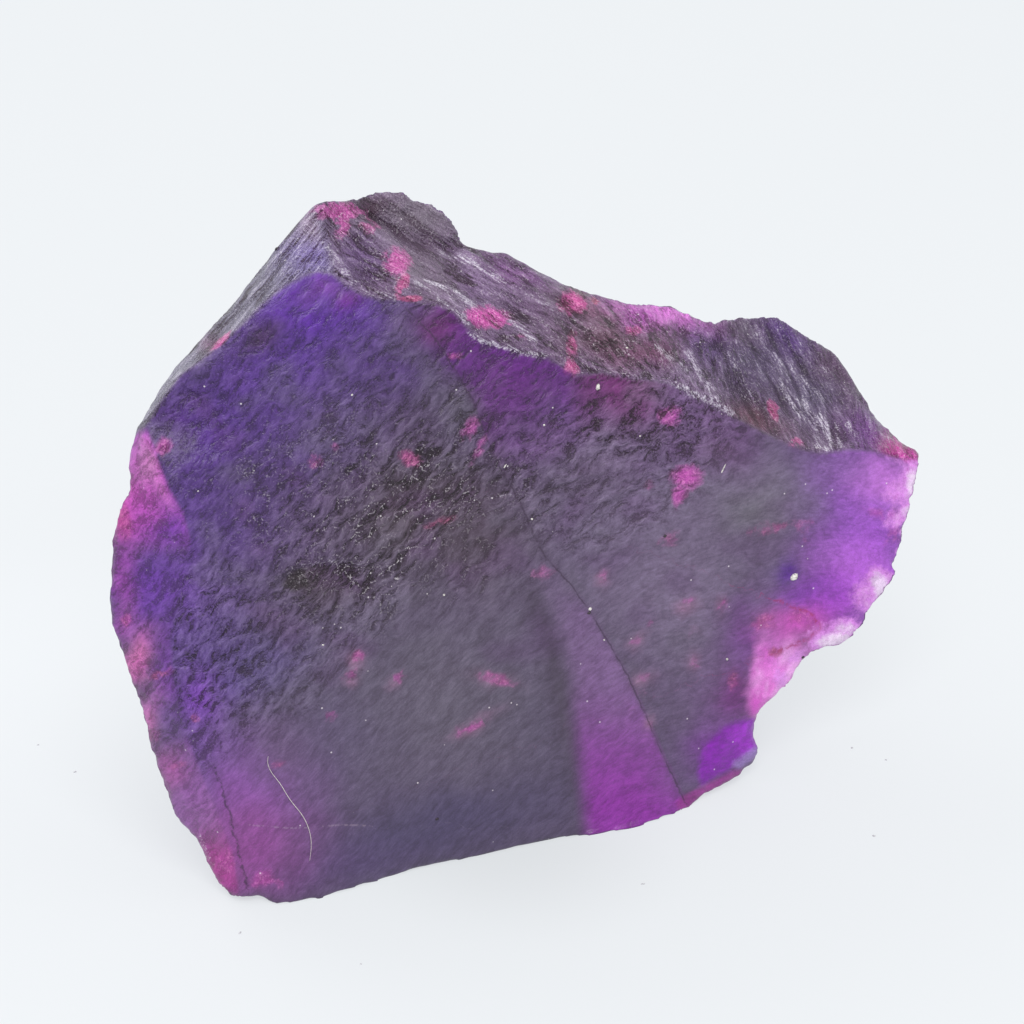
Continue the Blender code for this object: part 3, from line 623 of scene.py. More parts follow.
    # the right: violet, then orchid, paler towards the thin rim: partly the stone's own pink, partly painted light
    # shining through the thin rim
    p(face, 735, 715, 50, 50, 0, (112, 70, 130), 0.6)
    p(face, 872, 535, 46, 92, 14, (140, 66, 182), 0.98)
    p(face, 858, 520, 18, 36, 14, (138, 76, 176), 0.6)
    p(face, 812, 560, 20, 30, 24, (122, 66, 152), 0.6)
    p(face, 856, 470, 34, 24, 0, (126, 84, 152), 0.7)
    p(face, 862, 580, 44, 40, 0, (184, 98, 214), 0.9)
    p(face, 830, 600, 38, 24, 0, (148, 52, 184), 0.85)
    p(face, 806, 590, 26, 16, 0, (112, 44, 150), 0.7)
    p(face, 890, 484, 34, 28, 0, (188, 112, 206), 0.88)
    p(face, 752, 640, 26, 36, 0, (104, 46, 128), 0.75)
    p(face, 740, 690, 14, 22, 0, (120, 40, 120), 0.7)
    p(face, 738, 700, 20, 24, 10, (98, 34, 108), 0.75)
    hot = face * smooth(745, 757, x + 0.12 * (y - 680))
    p(hot, 784, 666, 34, 34, -40, (218, 126, 212), 0.98)
    p(hot, 774, 690, 24, 26, -40, (226, 118, 212), 0.95)
    p(hot, 758, 668, 8, 40, 4, (206, 84, 190), 0.75)
    angle, reach = np.arctan2(712 - y, x - 757), np.hypot(x - 757, y - 712)
    fan = plane_noise(angle * 5.5 + 9, reach / 45, 64)
    there = hot * blob(x, y, 782, 672, 30, 36, -40)
    c.lay(there * smooth(0.05, 0.5, fan), (236, 176, 234), 0.8)
    c.lay(there * smooth(0.05, 0.5, -fan), (206, 84, 200), 0.7)
    p(hot, 762, 706, 10, 13, -35, (212, 84, 198), 0.95)
    p(face, 800, 624, 32, 15, 12, (192, 72, 176), 0.88)
    p(face, 784, 569, 8, 8, 0, (80, 8, 136), 0.97)
    p(face, 716, 752, 30, 26, 30, (108, 40, 134), 0.8)
    u, v = x + 2.5 * c.drift[0] / 9, y + 2.5 * c.drift[1] / 9
    c.lay(face * inside_of(u, v, [(704, 750), (712, 737), (726, 725), (754, 719), (764, 748), (740, 763), (700, 784), (696, 770)], 3.5), (124, 6, 160), 0.96)
    c.lay(face * inside_of(u, v, [(727, 731), (754, 719), (764, 748), (742, 757)], 2.0), (148, 22, 186), 0.8)
    c.lay(face * inside_of(u, v, [(731, 764), (757, 747), (762, 756), (738, 771)], 2.5), (146, 118, 182), 0.8)
    c.lay(face * inside_of(u, v, [(676, 803), (699, 786), (737, 769), (748, 772), (712, 802), (684, 816)], 3.0), (140, 44, 132), 0.85)
    # the rounded left side; the paler pinks along its thin edge are partly its own colour, partly painted light shining
    # through
    side = z.side * smooth(560, 520, y)
    c.lay(side, (128, 55, 162), 0.95)
    p(side, 150, 492, 36, 62, 0, (180, 75, 174), 0.98)
    p(side, 120, 520, 14, 40, 0, (186, 66, 140), 0.85)
    p(side, 172, 544, 22, 36, 0, (92, 40, 146), 0.95)
    edge, _ = line_distance(x, y, [(146, 430), (156, 462), (166, 488), (180, 512), (187, 534)])
    c.lay(side * np.exp(-((edge - 5) / 5.0) ** 2) * smooth(428, 440, y) * smooth(522, 490, y), (214, 118, 202), 0.5)
    p(side, 143, 462, 13, 24, 0, (196, 118, 182), 0.85)
    p(z.side, 122, 575, 16, 40, 0, (138, 60, 150), 0.85)
    p(z.side, 122, 622, 12, 22, -20, (150, 76, 160), 0.8)
    p(z.side, 165, 680, 16, 44, -15, (112, 52, 150), 0.8)
    p(z.side, 134, 662, 14, 26, -20, (216, 114, 182), 0.97)
    p(z.side, 148, 725, 12, 30, -15, (194, 112, 176), 0.95)
    p(z.side, 168, 775, 16, 24, -20, (160, 82, 152), 0.9)
    p(z.side, 192, 790, 18, 30, -15, (138, 80, 154), 0.8)
    p(z.side, 198, 815, 26, 24, 0, (146, 88, 158), 0.92)
    p(z.side, 222, 866, 26, 34, -20, (166, 54, 140), 0.9)
    # the bevelled shoulder
    c.lay(z.bevel, (105, 100, 120), 0.95)
    p(z.bevel, 312, 258, 32, 28, 0, (110, 92, 150), 0.95)
    p(z.bevel, 308, 226, 18, 16, 50, (146, 128, 152), 0.9)
    p(z.bevel, 214, 346, 16, 14, 50, (120, 70, 110), 0.7)
    # the top
    c.lay(z.top, (98, 74, 106), 0.97)
    p(z.top, 345, 262, 26, 34, -30, (104, 88, 118), 0.7)
    p(z.top, 368, 250, 24, 32, -20, (88, 56, 108), 0.9)
    p(z.top, 415, 218, 52, 28, 0, (114, 102, 116), 0.95)
    p(z.top, 374, 208, 18, 14, 0, (62, 36, 52), 0.9)
    p(z.top, 432, 270, 40, 20, -30, (110, 94, 110), 0.8)
    p(z.top, 480, 285, 50, 22, -30, (108, 82, 120), 0.9)
    p(z.top, 520, 272, 40, 12, -28, (112, 62, 122), 0.7)
    p(z.top, 540, 312, 50, 24, -20, (90, 64, 96), 0.8)
    p(z.top, 606, 336, 46, 24, 0, (90, 56, 76), 0.9)
    p(z.top, 646, 352, 40, 14, 0, (88, 30, 70), 0.85)
    p(z.top, 590, 308, 34, 12, -15, (92, 50, 66), 0.7)
    # a pale pink strip along the thin back edge behind the top: painted light shining through it
    p(z.top, 668, 314, 48, 14, -12, (218, 120, 214), 0.99)
    p(z.top, 640, 314, 18, 10, 0, (150, 70, 150), 0.8)
    p(z.top, 706, 345, 26, 26, 0, (76, 46, 104), 0.8)
    p(z.lobe, 760, 365, 60, 40, 0, (60, 42, 78), 0.9)
    p(z.lobe, 786, 336, 30, 15, -30, (76, 40, 112), 0.85)
    p(z.lobe, 742, 330, 16, 12, 0, (56, 46, 60), 0.7)
    p(z.lobe, 755, 422, 40, 14, -25, (92, 50, 66), 0.9)
    p(z.lobe, 836, 372, 18, 30, 30, (68, 34, 66), 0.8)
    p(z.lobe, 812, 400, 32, 34, 0, (62, 52, 82), 0.75)
    p(z.lobe, 868, 430, 24, 26, 0, (92, 36, 114), 0.9)
    p(z.lobe, 905, 452, 22, 12, -35, (168, 30, 130), 0.95)
    # the far side: greyed violet, with blue and magenta drifting through it
    co = z.co / 1e-3
    back = z.far * smooth(2.5, 7.0, -((z.co + ORIGIN) @ FACE) / 1e-3)
    n1, n2, n3 = noise(co / 19.0, 71), noise(co / 15.0, 72), noise(co / 8.0, 73)
    outer = np.hypot(z.co[:, 0] / 26e-3, (z.co[:, 2] - 22e-3) / 21e-3) + 0.35 * n1
    c.lay(back, (92, 78, 104), 0.97)
    c.lay(back * smooth(-0.15, 0.5, n1), (76, 44, 122), 0.8)
    c.lay(back * smooth(0.10, 0.6, -n2), (66, 50, 70), 0.7)
    c.lay(back * smooth(0.70, 1.10, outer), (106, 54, 140), 0.85)
    c.lay(back * smooth(0.95, 1.35, outer), (140, 68, 154), 0.75)
    c.lay(back * smooth(0.1, 0.5, noise(co / 11.0, 74)), (84, 50, 134), 0.75)
    c.lay(back * smooth(0.15, 0.55, noise(co / 7.0, 75)), (98, 74, 112), 0.7)
    c.lay(back * smooth(0.25, 0.7, n3) * smooth(0.5, 0.9, outer), (164, 74, 152), 0.55)
    # paler where the far side is thin: painted light shining through
    c.lay(z.far * smooth(3.2, 0.6, z.thickness / 1e-3), (186, 110, 196), 0.8)
    return np.clip(c.rgb, 0.003, 1.0)


# Where the stone is thin and almost clear, painted pale as light shining through it: x, y, half width, half height,
# turn, strength.
THIN_GLOW = [
    (913, 484, 10, 22, 0, 0.85), (898, 492, 16, 16, 0, 0.45), (908, 512, 10, 10, 10, 0.7), (896, 520, 14, 9, 30, 0.5),
    (882, 588, 11, 20, 22, 0.95), (868, 596, 18, 18, 30, 0.5), (834, 640, 22, 9, 12, 0.95), (846, 630, 16, 12, 0, 0.7),
    (820, 632, 18, 10, 20, 0.4), (798, 656, 14, 6, 30, 0.45),
    (780, 678, 9, 14, 20, 0.42), (898, 460, 20, 6, -30, 0.3), (690, 312, 22, 5, -16, 0.35),
]
VEIN = [(776, 600), (792, 606), (811, 613), (821, 628), (806, 640), (790, 647), (774, 653)]


# Inclusions: x, y, half width, half height, turn, kind (0 magenta, 1 red), strength.
INCLUSIONS = [
    (488, 318, 20, 9, -8, 0.1, 1.0), (476, 314, 9, 6, 0, 0.3, 0.7), (340, 211, 23, 9, 0, 0.05, 0.75), (343, 224, 8, 13, 0, 0.1, 0.6), (368, 224, 14, 8, -30, 0.3, 0.4),
    (397, 262, 12, 13, 30, 0.15, 0.7), (403, 284, 5, 12, -25, 0.6, 0.75), (410, 299, 13, 3, 0, 0.8, 0.8),
    (410, 459, 10, 7, -20, 0.6, 0.8), (315, 461, 7, 7, 0, 0.5, 0.5), (334, 447, 5, 4, 0, 0.3, 0.4),
    (471, 426, 7, 13, -25, 0.1, 0.65), (481, 446, 4, 20, -24, 0.1, 0.5), (573, 302, 12, 11, 0, 0.4, 0.85),
    (572, 345, 5, 13, 0, 0.5, 0.7), (571, 368, 7, 8, 0, 0.6, 0.7), (670, 417, 11, 9, 30, 0.0, 0.7),
    (687, 477, 13, 10, 10, 0.0, 1.0), (679, 495, 6, 10, -15, 0.0, 0.95), (772, 528, 22, 5, 8, 0.5, 0.6), (808, 524, 12, 5, 10, 0.4, 0.4),
    (803, 532, 6, 16, 20, 0.4, 0.3), (541, 572, 12, 8, 0, 0.3, 0.45), (497, 679, 17, 5, -14, 0.3, 0.7),
    (474, 726, 18, 4, 30, 0.1, 0.8), (765, 622, 10, 7, 20, 0.5, 0.8), (800, 616, 10, 8, 0, 0.35, 0.7),
    (776, 652, 7, 5, 0, 1.0, 0.9), (812, 632, 8, 12, 0, 0.45, 0.5), (695, 662, 5, 5, 0, 0.3, 0.6),
    (733, 681, 6, 9, 0, 0.6, 0.5), (773, 410, 5, 9, 20, 0.6, 0.8), (796, 443, 7, 6, 0, 0.5, 0.6),
    (163, 447, 7, 9, -20, 0.2, 0.8), (221, 341, 12, 3, 42, 0.4, 0.9),
    (195, 717, 4, 4, 0, 1.5, 0.8), (440, 522, 15, 4, 18, 0.8, 0.6), (283, 883, 8, 4, 0, 0.3, 0.5),
    (358, 656, 5, 6, 0, 0.3, 0.75), (350, 676, 6, 4, 30, 0.2, 0.7), (397, 679, 4, 4, 0, 0.1, 0.75),
    (330, 715, 4, 4, 0, 0.1, 0.7), (280, 764, 10, 4, 10, 0.6, 0.5), (126, 621, 6, 6, 0, 0.3, 0.8),
    (137, 668, 9, 12, -20, 0.0, 0.5), (160, 674, 12, 4, 20, 0.9, 0.7), (152, 735, 8, 9, 0, 0.2, 0.4),
    (176, 765, 11, 4, 10, 0.6, 0.5), (225, 862, 9, 9, 0, 0.1, 0.8), (262, 880, 12, 7, 20, 0.05, 0.7),
    (455, 356, 8, 4, 0, 0.4, 0.5), (635, 330, 9, 5, 0, 0.5, 0.6), (594, 301, 6, 4, 0, 1.2, 0.6),
    (670, 540, 12, 7, 30, 0.4, 0.5), (649, 485, 7, 5, 0, 0.5, 0.35), (520, 335, 8, 5, 0, 0.2, 0.3),
    (908, 458, 12, 6, -30, 0.0, 0.9), (890, 516, 22, 5, -12, 0.1, 0.6), (895, 534, 14, 7, 30, 0.3, 0.5),
    (860, 640, 6, 10, 0, 0.2, 0.3), (122, 520, 8, 20, 0, 0.5, 0.6), (640, 700, 20, 40, 0, 0.2, 0.15),
    (688, 601, 7, 3.5, 20, 0.0, 0.5), (722, 605, 4, 6, 0, 0.2, 0.6), (634, 643, 7, 4, 30, 0.0, 0.45),
    (692, 633, 4, 4, 0, 0.1, 0.5), (643, 679, 5, 5, 0, 0.1, 0.4), (603, 577, 4, 5, 0, 0.2, 0.55),
    (652, 726, 4, 5, 0, 0.2, 0.4), (651, 626, 4, 5, 0, 0.1, 0.45),
]

# Painted highlights, most of them on the top: pale strokes where crests and rims catch the light: a line, its width and
# its strength.
HIGHLIGHT_STROKES = [
    ([(418, 282), (440, 285), (458, 293), (474, 304)], 6, 0.9), ([(440, 252), (462, 259), (484, 268), (504, 282)], 5, 0.75),
    ([(438, 300), (456, 309), (468, 324)], 3.5, 0.8), ([(470, 334), (486, 343), (505, 347), (526, 353), (546, 355)], 4, 1.0),
    ([(505, 312), (522, 328), (536, 343)], 6, 0.8), ([(528, 292), (546, 303), (556, 316)], 7, 0.4),
    ([(322, 240), (334, 258), (347, 276), (366, 290), (394, 298)], 7, 0.6), ([(296, 242), (306, 224), (314, 212)], 5, 0.55),
    ([(654, 344), (664, 352), (672, 360)], 4, 0.9), ([(676, 384), (694, 394), (712, 402), (732, 413)], 5, 1.0),
    ([(688, 352), (698, 370), (712, 392), (720, 404)], 6, 0.7), ([(780, 384), (790, 402), (800, 414)], 5, 0.8), ([(728, 352), (740, 376), (754, 400)], 5, 0.6), ([(774, 352), (784, 368), (792, 380)], 4, 0.5), ([(800, 376), (814, 390), (826, 402)], 4, 0.6), ([(680, 362), (688, 372)], 4, 0.8),
    ([(800, 400), (812, 416), (818, 436)], 7, 0.6), ([(820, 416), (828, 432), (834, 446)], 6, 1.0),
    ([(848, 424), (854, 434)], 5, 0.9), ([(816, 446), (830, 449)], 4, 0.8), ([(739, 390), (751, 404)], 4, 0.8), ([(836, 424), (840, 446)], 4, 0.9),
    ([(408, 206), (414, 220), (420, 236)], 6, 0.45), ([(384, 226), (398, 240), (416, 256)], 5, 0.5),
    ([(580, 366), (610, 372), (640, 376)], 4, 0.35), ([(864, 414), (880, 432), (896, 446)], 4, 0.4),
    ([(284, 572), (300, 566), (320, 562), (345, 561), (362, 566)], 3.5, 0.52), ([(480, 502), (492, 497), (512, 495)], 2, 0.6),
    ([(626, 340), (627, 352), (630, 366)], 5, 0.5), ([(200, 836), (206, 850), (212, 866)], 4, 0.6),
]


def fields(z):
    """Inclusion strength and redness, painted highlights, light shining through the thin places, and a vein: what the
    material draws in detail.
    """
    x, y = z.x, z.y
    strength, red = np.zeros(len(x)), np.zeros(len(x))
    for cx, cy, rx, ry, turn, kind, power in INCLUSIONS:
        a = math.radians(turn)
        u = ((x - cx) * math.cos(a) - (y - cy) * math.sin(a)) / rx
        v = ((x - cx) * math.sin(a) + (y - cy) * math.cos(a)) / ry
        inside = np.clip(1.75 - np.hypot(u, v), 0, 1.2) * power
        red = np.where(inside > strength, kind, red)
        strength = np.maximum(strength, inside)
    near = 1 - z.far
    strength *= near
    co = z.co / 1e-3
    strays = np.clip(noise(co / np.array([2.2, 2.2, 1.8]), 81) - 0.66, 0, 1) * 3.0
    strength = np.maximum(strength, strays * z.far)
    # painted highlights: strokes, and a faint pale veil over the bevel, the top and the rims of the far side's scars
    highlight = np.zeros(len(x))
    for line, width, power in HIGHLIGHT_STROKES:
        d, _ = line_distance(x, y, line)
        highlight = np.maximum(highlight, power * np.exp(-(d / (0.8 * width)) ** 2))
    highlight *= near
    highlight = np.maximum(highlight, 0.35 * z.bevel)
    highlight = np.maximum(highlight, 0.17 * z.top + 0.08 * z.lobe)
    _, edge, _ = scar_field(z.wide)
    highlight = np.maximum(highlight, 0.46 * z.far * edge * smooth(-0.4, 0.5, noise(co / 4.0, 82)))
    # the thin places painted pale, as light shining through the stone
    clear = np.zeros(len(x))
    for cx, cy, rx, ry, turn, power in THIN_GLOW:
        a = math.radians(turn)
        u = ((x - cx) * math.cos(a) - (y - cy) * math.sin(a)) / rx
        v = ((x - cx) * math.sin(a) + (y - cy) * math.cos(a)) / ry
        clear = np.maximum(clear, np.clip(1.6 - np.hypot(u, v), 0, 1.2) * power)
    clear *= np.maximum(z.face, 0.5 * z.far)
    thin = smooth(1.5, 0.3, z.thickness / 1e-3)
    clear = np.maximum(clear, 0.75 * thin * np.where(z.far > 0.5, 1, smooth(745, 800, x) * z.face))
    vein, _ = line_distance(x, y, VEIN)
    vein = vein + np.where(vein >= 0, 1, -1) * 30 * (1 - z.face)
    return strength, red, highlight, clear, vein


def grain_of(mesh, z):
    """Along and across the grain, for each corner of each small face.  A face keeps to one
    part of the stone, so the grain breaks cleanly where two parts meet."""
    corners = np.empty(len(mesh.loops), dtype=np.int64)
    mesh.loops.foreach_get("vertex_index", corners)
    sizes = np.empty(len(mesh.polygons), dtype=np.int64)
    mesh.polygons.foreach_get("loop_total", sizes)
    owner = np.repeat(np.arange(len(sizes)), sizes)
    far, top, bevel = ((np.bincount(owner, mask[corners]) / sizes > 0.5)[owner] for mask in (z.far, z.top, z.bevel))
    fa, fc = face_grain(z.x, z.y)
    ta, tc = top_grain(z.x, z.y)
    ba, bc = side_grain(z)
    co = z.co @ turned(34, 12) / 1e-3 / 0.074
    along = np.where(far, co[corners, 0], np.where(top, ta[corners] / 2.4, np.where(bevel, ba[corners] / 3.5, fa[corners])))
    across = np.where(far, (co[:, 1] + co[:, 2] * 0.5)[corners], np.where(top, tc[corners] * 1.15, np.where(bevel, bc[corners] * 1.5, fc[corners])))
    zone = np.where(far, 9 + 0.03 * co[corners, 2], np.where(top, 3.0, np.where(bevel, 6.0, 0.0)))
    return np.stack([along, across, zone], axis=1)


def store(mesh, name, values):
    kind = {1: "FLOAT", 3: "FLOAT_VECTOR"}[1 if values.ndim == 1 else values.shape[1]]
    made = mesh.attributes.new(name, kind, "POINT" if len(values) == len(mesh.vertices) else "CORNER")
    made.data.foreach_set("value" if kind == "FLOAT" else "vector", np.ascontiguousarray(values, np.float32).ravel())


def swarm_of(z):
    """Where the broken ground is full of painted glints."""
    x, y = z.x, z.y
    swarm = np.maximum(blob(x, y, 400, 530, 105, 80, 20), 0.62 * blob(x, y, 270, 488, 95, 66, 10))
    swarm = np.maximum(swarm, 0.5 * z.top + 0.25 * z.far)
    return 0.08 + 0.92 * swarm


def paint_skin(skin):
    mesh = skin.data
    co, normal = vectors(mesh, "co"), vectors(mesh, "normal")
    z = Zones(co, normal)
    pairs = edges_of(mesh)
    degree = np.bincount(pairs.ravel(), minlength=len(co)).astype(float)
    z.thickness = thickness(co, normal, mesh, pairs, degree)
    strength, red, highlight, clear, vein = fields(z)
    store(mesh, "extra", np.stack([clear, vein, swarm_of(z)], axis=1))
    store(mesh, "tint", painted(z))
    store(mesh, "grain", grain_of(mesh, z))
    store(mesh, "marks", np.stack([strength, red, highlight], axis=1))
    rough = rough_mask(z)
    core = np.maximum(blob(z.x, z.y, 410, 520, 150, 110, 25), 0.85 * blob(z.x, z.y, 640, 420, 110, 60, 10))
    core = np.maximum(core, 0.7 * blob(z.x, z.y, 210, 640, 70, 110, 0))
    rough = np.maximum(rough, 0.55 * blob(z.x, z.y, 480, 565, 70, 50))
    rough = rough * (0.50 + 0.50 * smooth(0.15, 0.75, core)) * (1 - 0.45 * blob(z.x, z.y, 320, 300, 60, 36, 0))
    rough = np.where(z.far > 0.5, 0.55 - 0.25 * smooth(0.2, -0.5, noise(z.co / 9e-3, 49)), rough * z.face + 0.42 * z.side * (1 - 0.6 * smooth(720, 780, z.y)) + (1.0 - 0.45 * z.knob - 0.42 * z.lobe - 0.55 * blob(z.x, z.y, 668, 314, 50, 16, -12)) * z.top + 1.0 * z.bevel)
    _, crest = relief(z)
    # painted shading on the far side: where the skin tilts up from its smoothed normal it is painted lighter, where it
    # tilts down darker
    plain = normal
    for _ in range(40):
        plain = 0.3 * plain + 0.7 * neighbour_mean(plain, pairs, degree)
    crest = crest + z.far * np.clip((normal - plain)[:, 2] * 2.6, -0.8, 0.8)
    store(mesh, "skin", np.stack([rough, z.top + z.bevel, crest], axis=1))
    crack, t = line_distance(z.x, z.y, CRACK)
    crack = crack * (1 + 0.4 * smooth(520, 600, z.y)) + np.where(crack >= 0, 1, -1) * 30 * (1 - z.face)
    heel, th = line_distance(z.x, z.y, HEEL_CRACK)
    heel = heel + np.where(heel >= 0, 1, -1) * (30 * (1 - np.maximum(z.face, z.side)) + 20 * smooth(0.02, 0, th))
    scratch = (z.y - 826.5 + 1.5 * np.sin(z.x / 17)) * 1.0
    scratch = scratch + np.where(scratch >= 0, 1, -1) * 30 * (1 - smooth(236, 246, z.x) * smooth(384, 372, z.x) * z.face)
    store(mesh, "lines", np.stack([crack, heel, scratch], axis=1))


# ---------------------------------------------------------------- material
class Nodes:
    """Short words for putting a node tree together."""

    def __init__(self, material):
        material.use_nodes = True
        self.tree = material.node_tree
        self.shader = self.tree.nodes["Principled BSDF"]

    def new(self, kind, **settings):
        node = self.tree.nodes.new(kind)
        for k, v in settings.items():
            setattr(node, k, v)
        return node

    def link(self, a, b):
        if isinstance(a, (int, float)):
            b.default_value = a
        elif isinstance(a, tuple):
            b.default_value = a
        else:
            self.tree.links.new(a, b)

    def attribute(self, name):
        return self.new("ShaderNodeAttribute", attribute_name=name)

    def math(self, op, a, b=None, c=None, clamp=False):
        node = self.new("ShaderNodeMath", operation=op, use_clamp=clamp)
        for v, s in zip((a, b, c), node.inputs):
            if v is not None:
                self.link(v, s)
        return node.outputs[0]

    def vmath(self, op, a, b=None, scale=None):
        node = self.new("ShaderNodeVectorMath", operation=op)
        self.link(a, node.inputs[0])
        if b is not None:
            self.link(b, node.inputs[1])
        if scale is not None:
            self.link(scale, node.inputs["Scale"])
        return node.outputs[0]

    def noise(self, vector, scale, detail=2.0, rough=0.5, distortion=0.0):
        node = self.new("ShaderNodeTexNoise")
        self.link(vector, node.inputs["Vector"])
        node.inputs["Scale"].default_value = scale
        node.inputs["Detail"].default_value = detail
        node.inputs["Roughness"].default_value = rough
        node.inputs["Distortion"].default_value = distortion
        return node.outputs["Fac"]

    def cells(self, vector, scale, jitter=1.0):
        node = self.new("ShaderNodeTexVoronoi", feature="F1")
        self.link(vector, node.inputs["Vector"])
        node.inputs["Scale"].default_value = scale
        node.inputs["Randomness"].default_value = jitter
        return node.outputs["Distance"], node.outputs["Color"]

    def span(self, value, a, b, lo=0.0, hi=1.0):
        node = self.new("ShaderNodeMapRange", clamp=True, interpolation_type="SMOOTHSTEP")
        self.link(value, node.inputs["Value"])
        node.inputs["From Min"].default_value = a
        node.inputs["From Max"].default_value = b
        self.link(lo, node.inputs["To Min"])
        self.link(hi, node.inputs["To Max"])
        return node.outputs["Result"]

    def mix(self, fac, a, b, blend="MIX"):
        node = self.new("ShaderNodeMix", data_type="RGBA", blend_type=blend)
        self.link(fac, node.inputs["Factor"])
        self.link(a, [i for i in node.inputs if i.name == "A" and i.type == "RGBA"][0])
        self.link(b, [i for i in node.inputs if i.name == "B" and i.type == "RGBA"][0])
        return [o for o in node.outputs if o.type == "RGBA"][0]

    def split(self, vector):
        node = self.new("ShaderNodeSeparateXYZ")
        self.link(vector, node.inputs[0])
        return node.outputs

    def join(self, x, y, z):
        node = self.new("ShaderNodeCombineXYZ")
        for v, s in zip((x, y, z), node.inputs):
            self.link(v, s)
        return node.outputs[0]


def rgba(r, g, b):
    return tuple(float(v) for v in tone(r, g, b)) + (1.0,)


def stone_material():
    material = bpy.data.materials.new("violet_stone")
    n = Nodes(material)
    m, span = n.math, n.span
    place = n.new("ShaderNodeTexCoord").outputs["Object"]
    mm = n.vmath("SCALE", place, scale=1000.0)
    tint = n.attribute("tint").outputs["Vector"]
    grain = n.split(n.attribute("grain").outputs["Vector"])
    marks = n.split(n.attribute("marks").outputs["Vector"])
    skin = n.split(n.attribute("skin").outputs["Vector"])
    lines = n.split(n.attribute("lines").outputs["Vector"])
    included, red, highlight = marks[0], marks[1], marks[2]
    rough, top, crest = skin[0], skin[1], skin[2]

    # inclusions, ragged at their edges
    mottle = n.noise(mm, 1.5, 2.0, 0.6)
    grit = n.noise(mm, 6.5, 1.0, 0.65)
    torn = n.noise(mm, 2.4, 3.0, 0.72)
    cloud = n.noise(mm, 1.1, 1.0, 0.5)
    dust = n.noise(mm, 12.0, 0.0)
    ragged = m("ADD", included, m("ADD", m("MULTIPLY", m("SUBTRACT", torn, 0.5), 1.1), m("MULTIPLY", m("SUBTRACT", cloud, 0.5), 1.3)))
    soft = m("MULTIPLY", m("SUBTRACT", 1.0, top), span(ragged, 0.16, 0.86))
    inside = m("MULTIPLY", m("ADD", soft, m("MULTIPLY", top, span(ragged, 0.32, 0.66))), span(included, 0.02, 0.34))
    pink = n.mix(red, n.mix(top, rgba(166, 60, 150), rgba(190, 60, 156)), n.mix(top, rgba(128, 44, 76), rgba(160, 48, 84)))
    pale = n.mix(red, n.mix(top, rgba(204, 110, 182), rgba(226, 126, 196)), rgba(176, 92, 118))
    pink = n.mix(span(m("ADD", torn, m("MULTIPLY", m("SUBTRACT", grit, 0.5), 0.6)), 0.46, 0.72), pink, pale)
    extra = n.split(n.attribute("extra").outputs["Vector"])
    # painted light shining through where the stone is thin and almost clear
    glow_field = m("ADD", extra[0], m("MULTIPLY", m("SUBTRACT", torn, 0.5), 0.8))
    glow_mask = m("MULTIPLY", span(glow_field, 0.18, 0.62), span(extra[0], 0.02, 0.3))
    seams = m("MULTIPLY", span(m("ABSOLUTE", m("SUBTRACT", cloud, 0.5)), 0.0, 0.02, 1.0, 0.0), span(grit, 0.40, 0.56))
    included_part = m("MULTIPLY", inside, m("ADD", 0.12, m("MULTIPLY", included, 0.62), clamp=True))
    colour = n.mix(included_part, tint, pink)
    glow_colour = n.mix(span(glow_field, 0.52, 1.15), rgba(212, 136, 220), rgba(238, 216, 240))
    colour = n.mix(m("MULTIPLY", glow_mask, 0.88), colour, glow_colour)
    colour = n.mix(m("MULTIPLY", m("MULTIPLY", seams, span(extra[0], 0.1, 0.6)), 0.45), colour, rgba(176, 74, 168))

    # hackles and striations, drawn along the grain: smooth folds, with broken ground between
    warp = m("SUBTRACT", n.noise(mm, 0.36, 1.0, 0.5), 0.5)
    across = m("ADD", grain[1], m("MULTIPLY", warp, m("SUBTRACT", 20.0, m("MULTIPLY", top, 10.0))))
    tangle = m("MULTIPLY", m("SUBTRACT", cloud, 0.5), m("SUBTRACT", 13.0, m("MULTIPLY", top, 9.0)))
    across = m("ADD", across, tangle)
    broad = n.noise(n.join(m("MULTIPLY", grain[0], 1 / 19), m("MULTIPLY", across, 1 / 10), grain[2]), 1.0, 3.0, 0.62)
    fine = n.noise(n.join(m("MULTIPLY", grain[0], 1 / 7.5), m("MULTIPLY", across, 1 / 3.8), grain[2]), 1.0, 2.0, 0.62)
    rise = m("ADD", m("MULTIPLY", m("SUBTRACT", broad, 0.5), 4.2), m("MULTIPLY", crest, 0.75))
    broken = m("MAXIMUM", span(rise, 0.70, -0.45), m("MULTIPLY", top, 0.6))
    height = m("ADD", m("MULTIPLY", m("SUBTRACT", broad, 0.5), 4.4), m("MULTIPLY", m("MULTIPLY", m("SUBTRACT", fine, 0.5), 3.3), m("ADD", m("MULTIPLY", broken, 0.75), 0.35)))
    height = m("ADD", height, m("MULTIPLY", m("MULTIPLY", m("SUBTRACT", grit, 0.5), 2.4), m("ADD", m("MULTIPLY", broken, 0.8), 0.2)))
    lie = m("ADD", m("MULTIPLY", crest, 0.75), m("MULTIPLY", height, 1.15))
    contrast = m("ADD", 0.12, m("MULTIPLY", rough, 0.88))
    parts = n.split(colour)
    pure = m("DIVIDE", m("SUBTRACT", parts[0], parts[1]), m("ADD", parts[0], 0.01), clamp=True)
    # crests painted paler and greyer, a painted sheen, and hollows painted darker, painted shade
    low = n.mix(1.0, colour, (0.27, 0.14, 0.23, 1), "MULTIPLY")
    high = n.mix(m("SUBTRACT", 0.36, m("MULTIPLY", pure, 0.33)), n.mix(1.0, colour, (1.60, 1.60, 1.52, 1), "MULTIPLY"), rgba(128, 122, 142))
    colour = n.mix(m("MULTIPLY", span(lie, 0.22, -0.75), contrast), colour, low)
    colour = n.mix(m("MULTIPLY", span(lie, 0.0, 1.15), contrast), colour, high)
    colour = n.mix(1.0, colour, n.mix(mottle, (0.78, 0.76, 0.80, 1), (1.22, 1.22, 1.22, 1)), "MULTIPLY")
    colour = n.mix(1.0, colour, n.mix(dust, (0.80, 0.80, 0.80, 1), (1.20, 1.20, 1.20, 1)), "MULTIPLY")
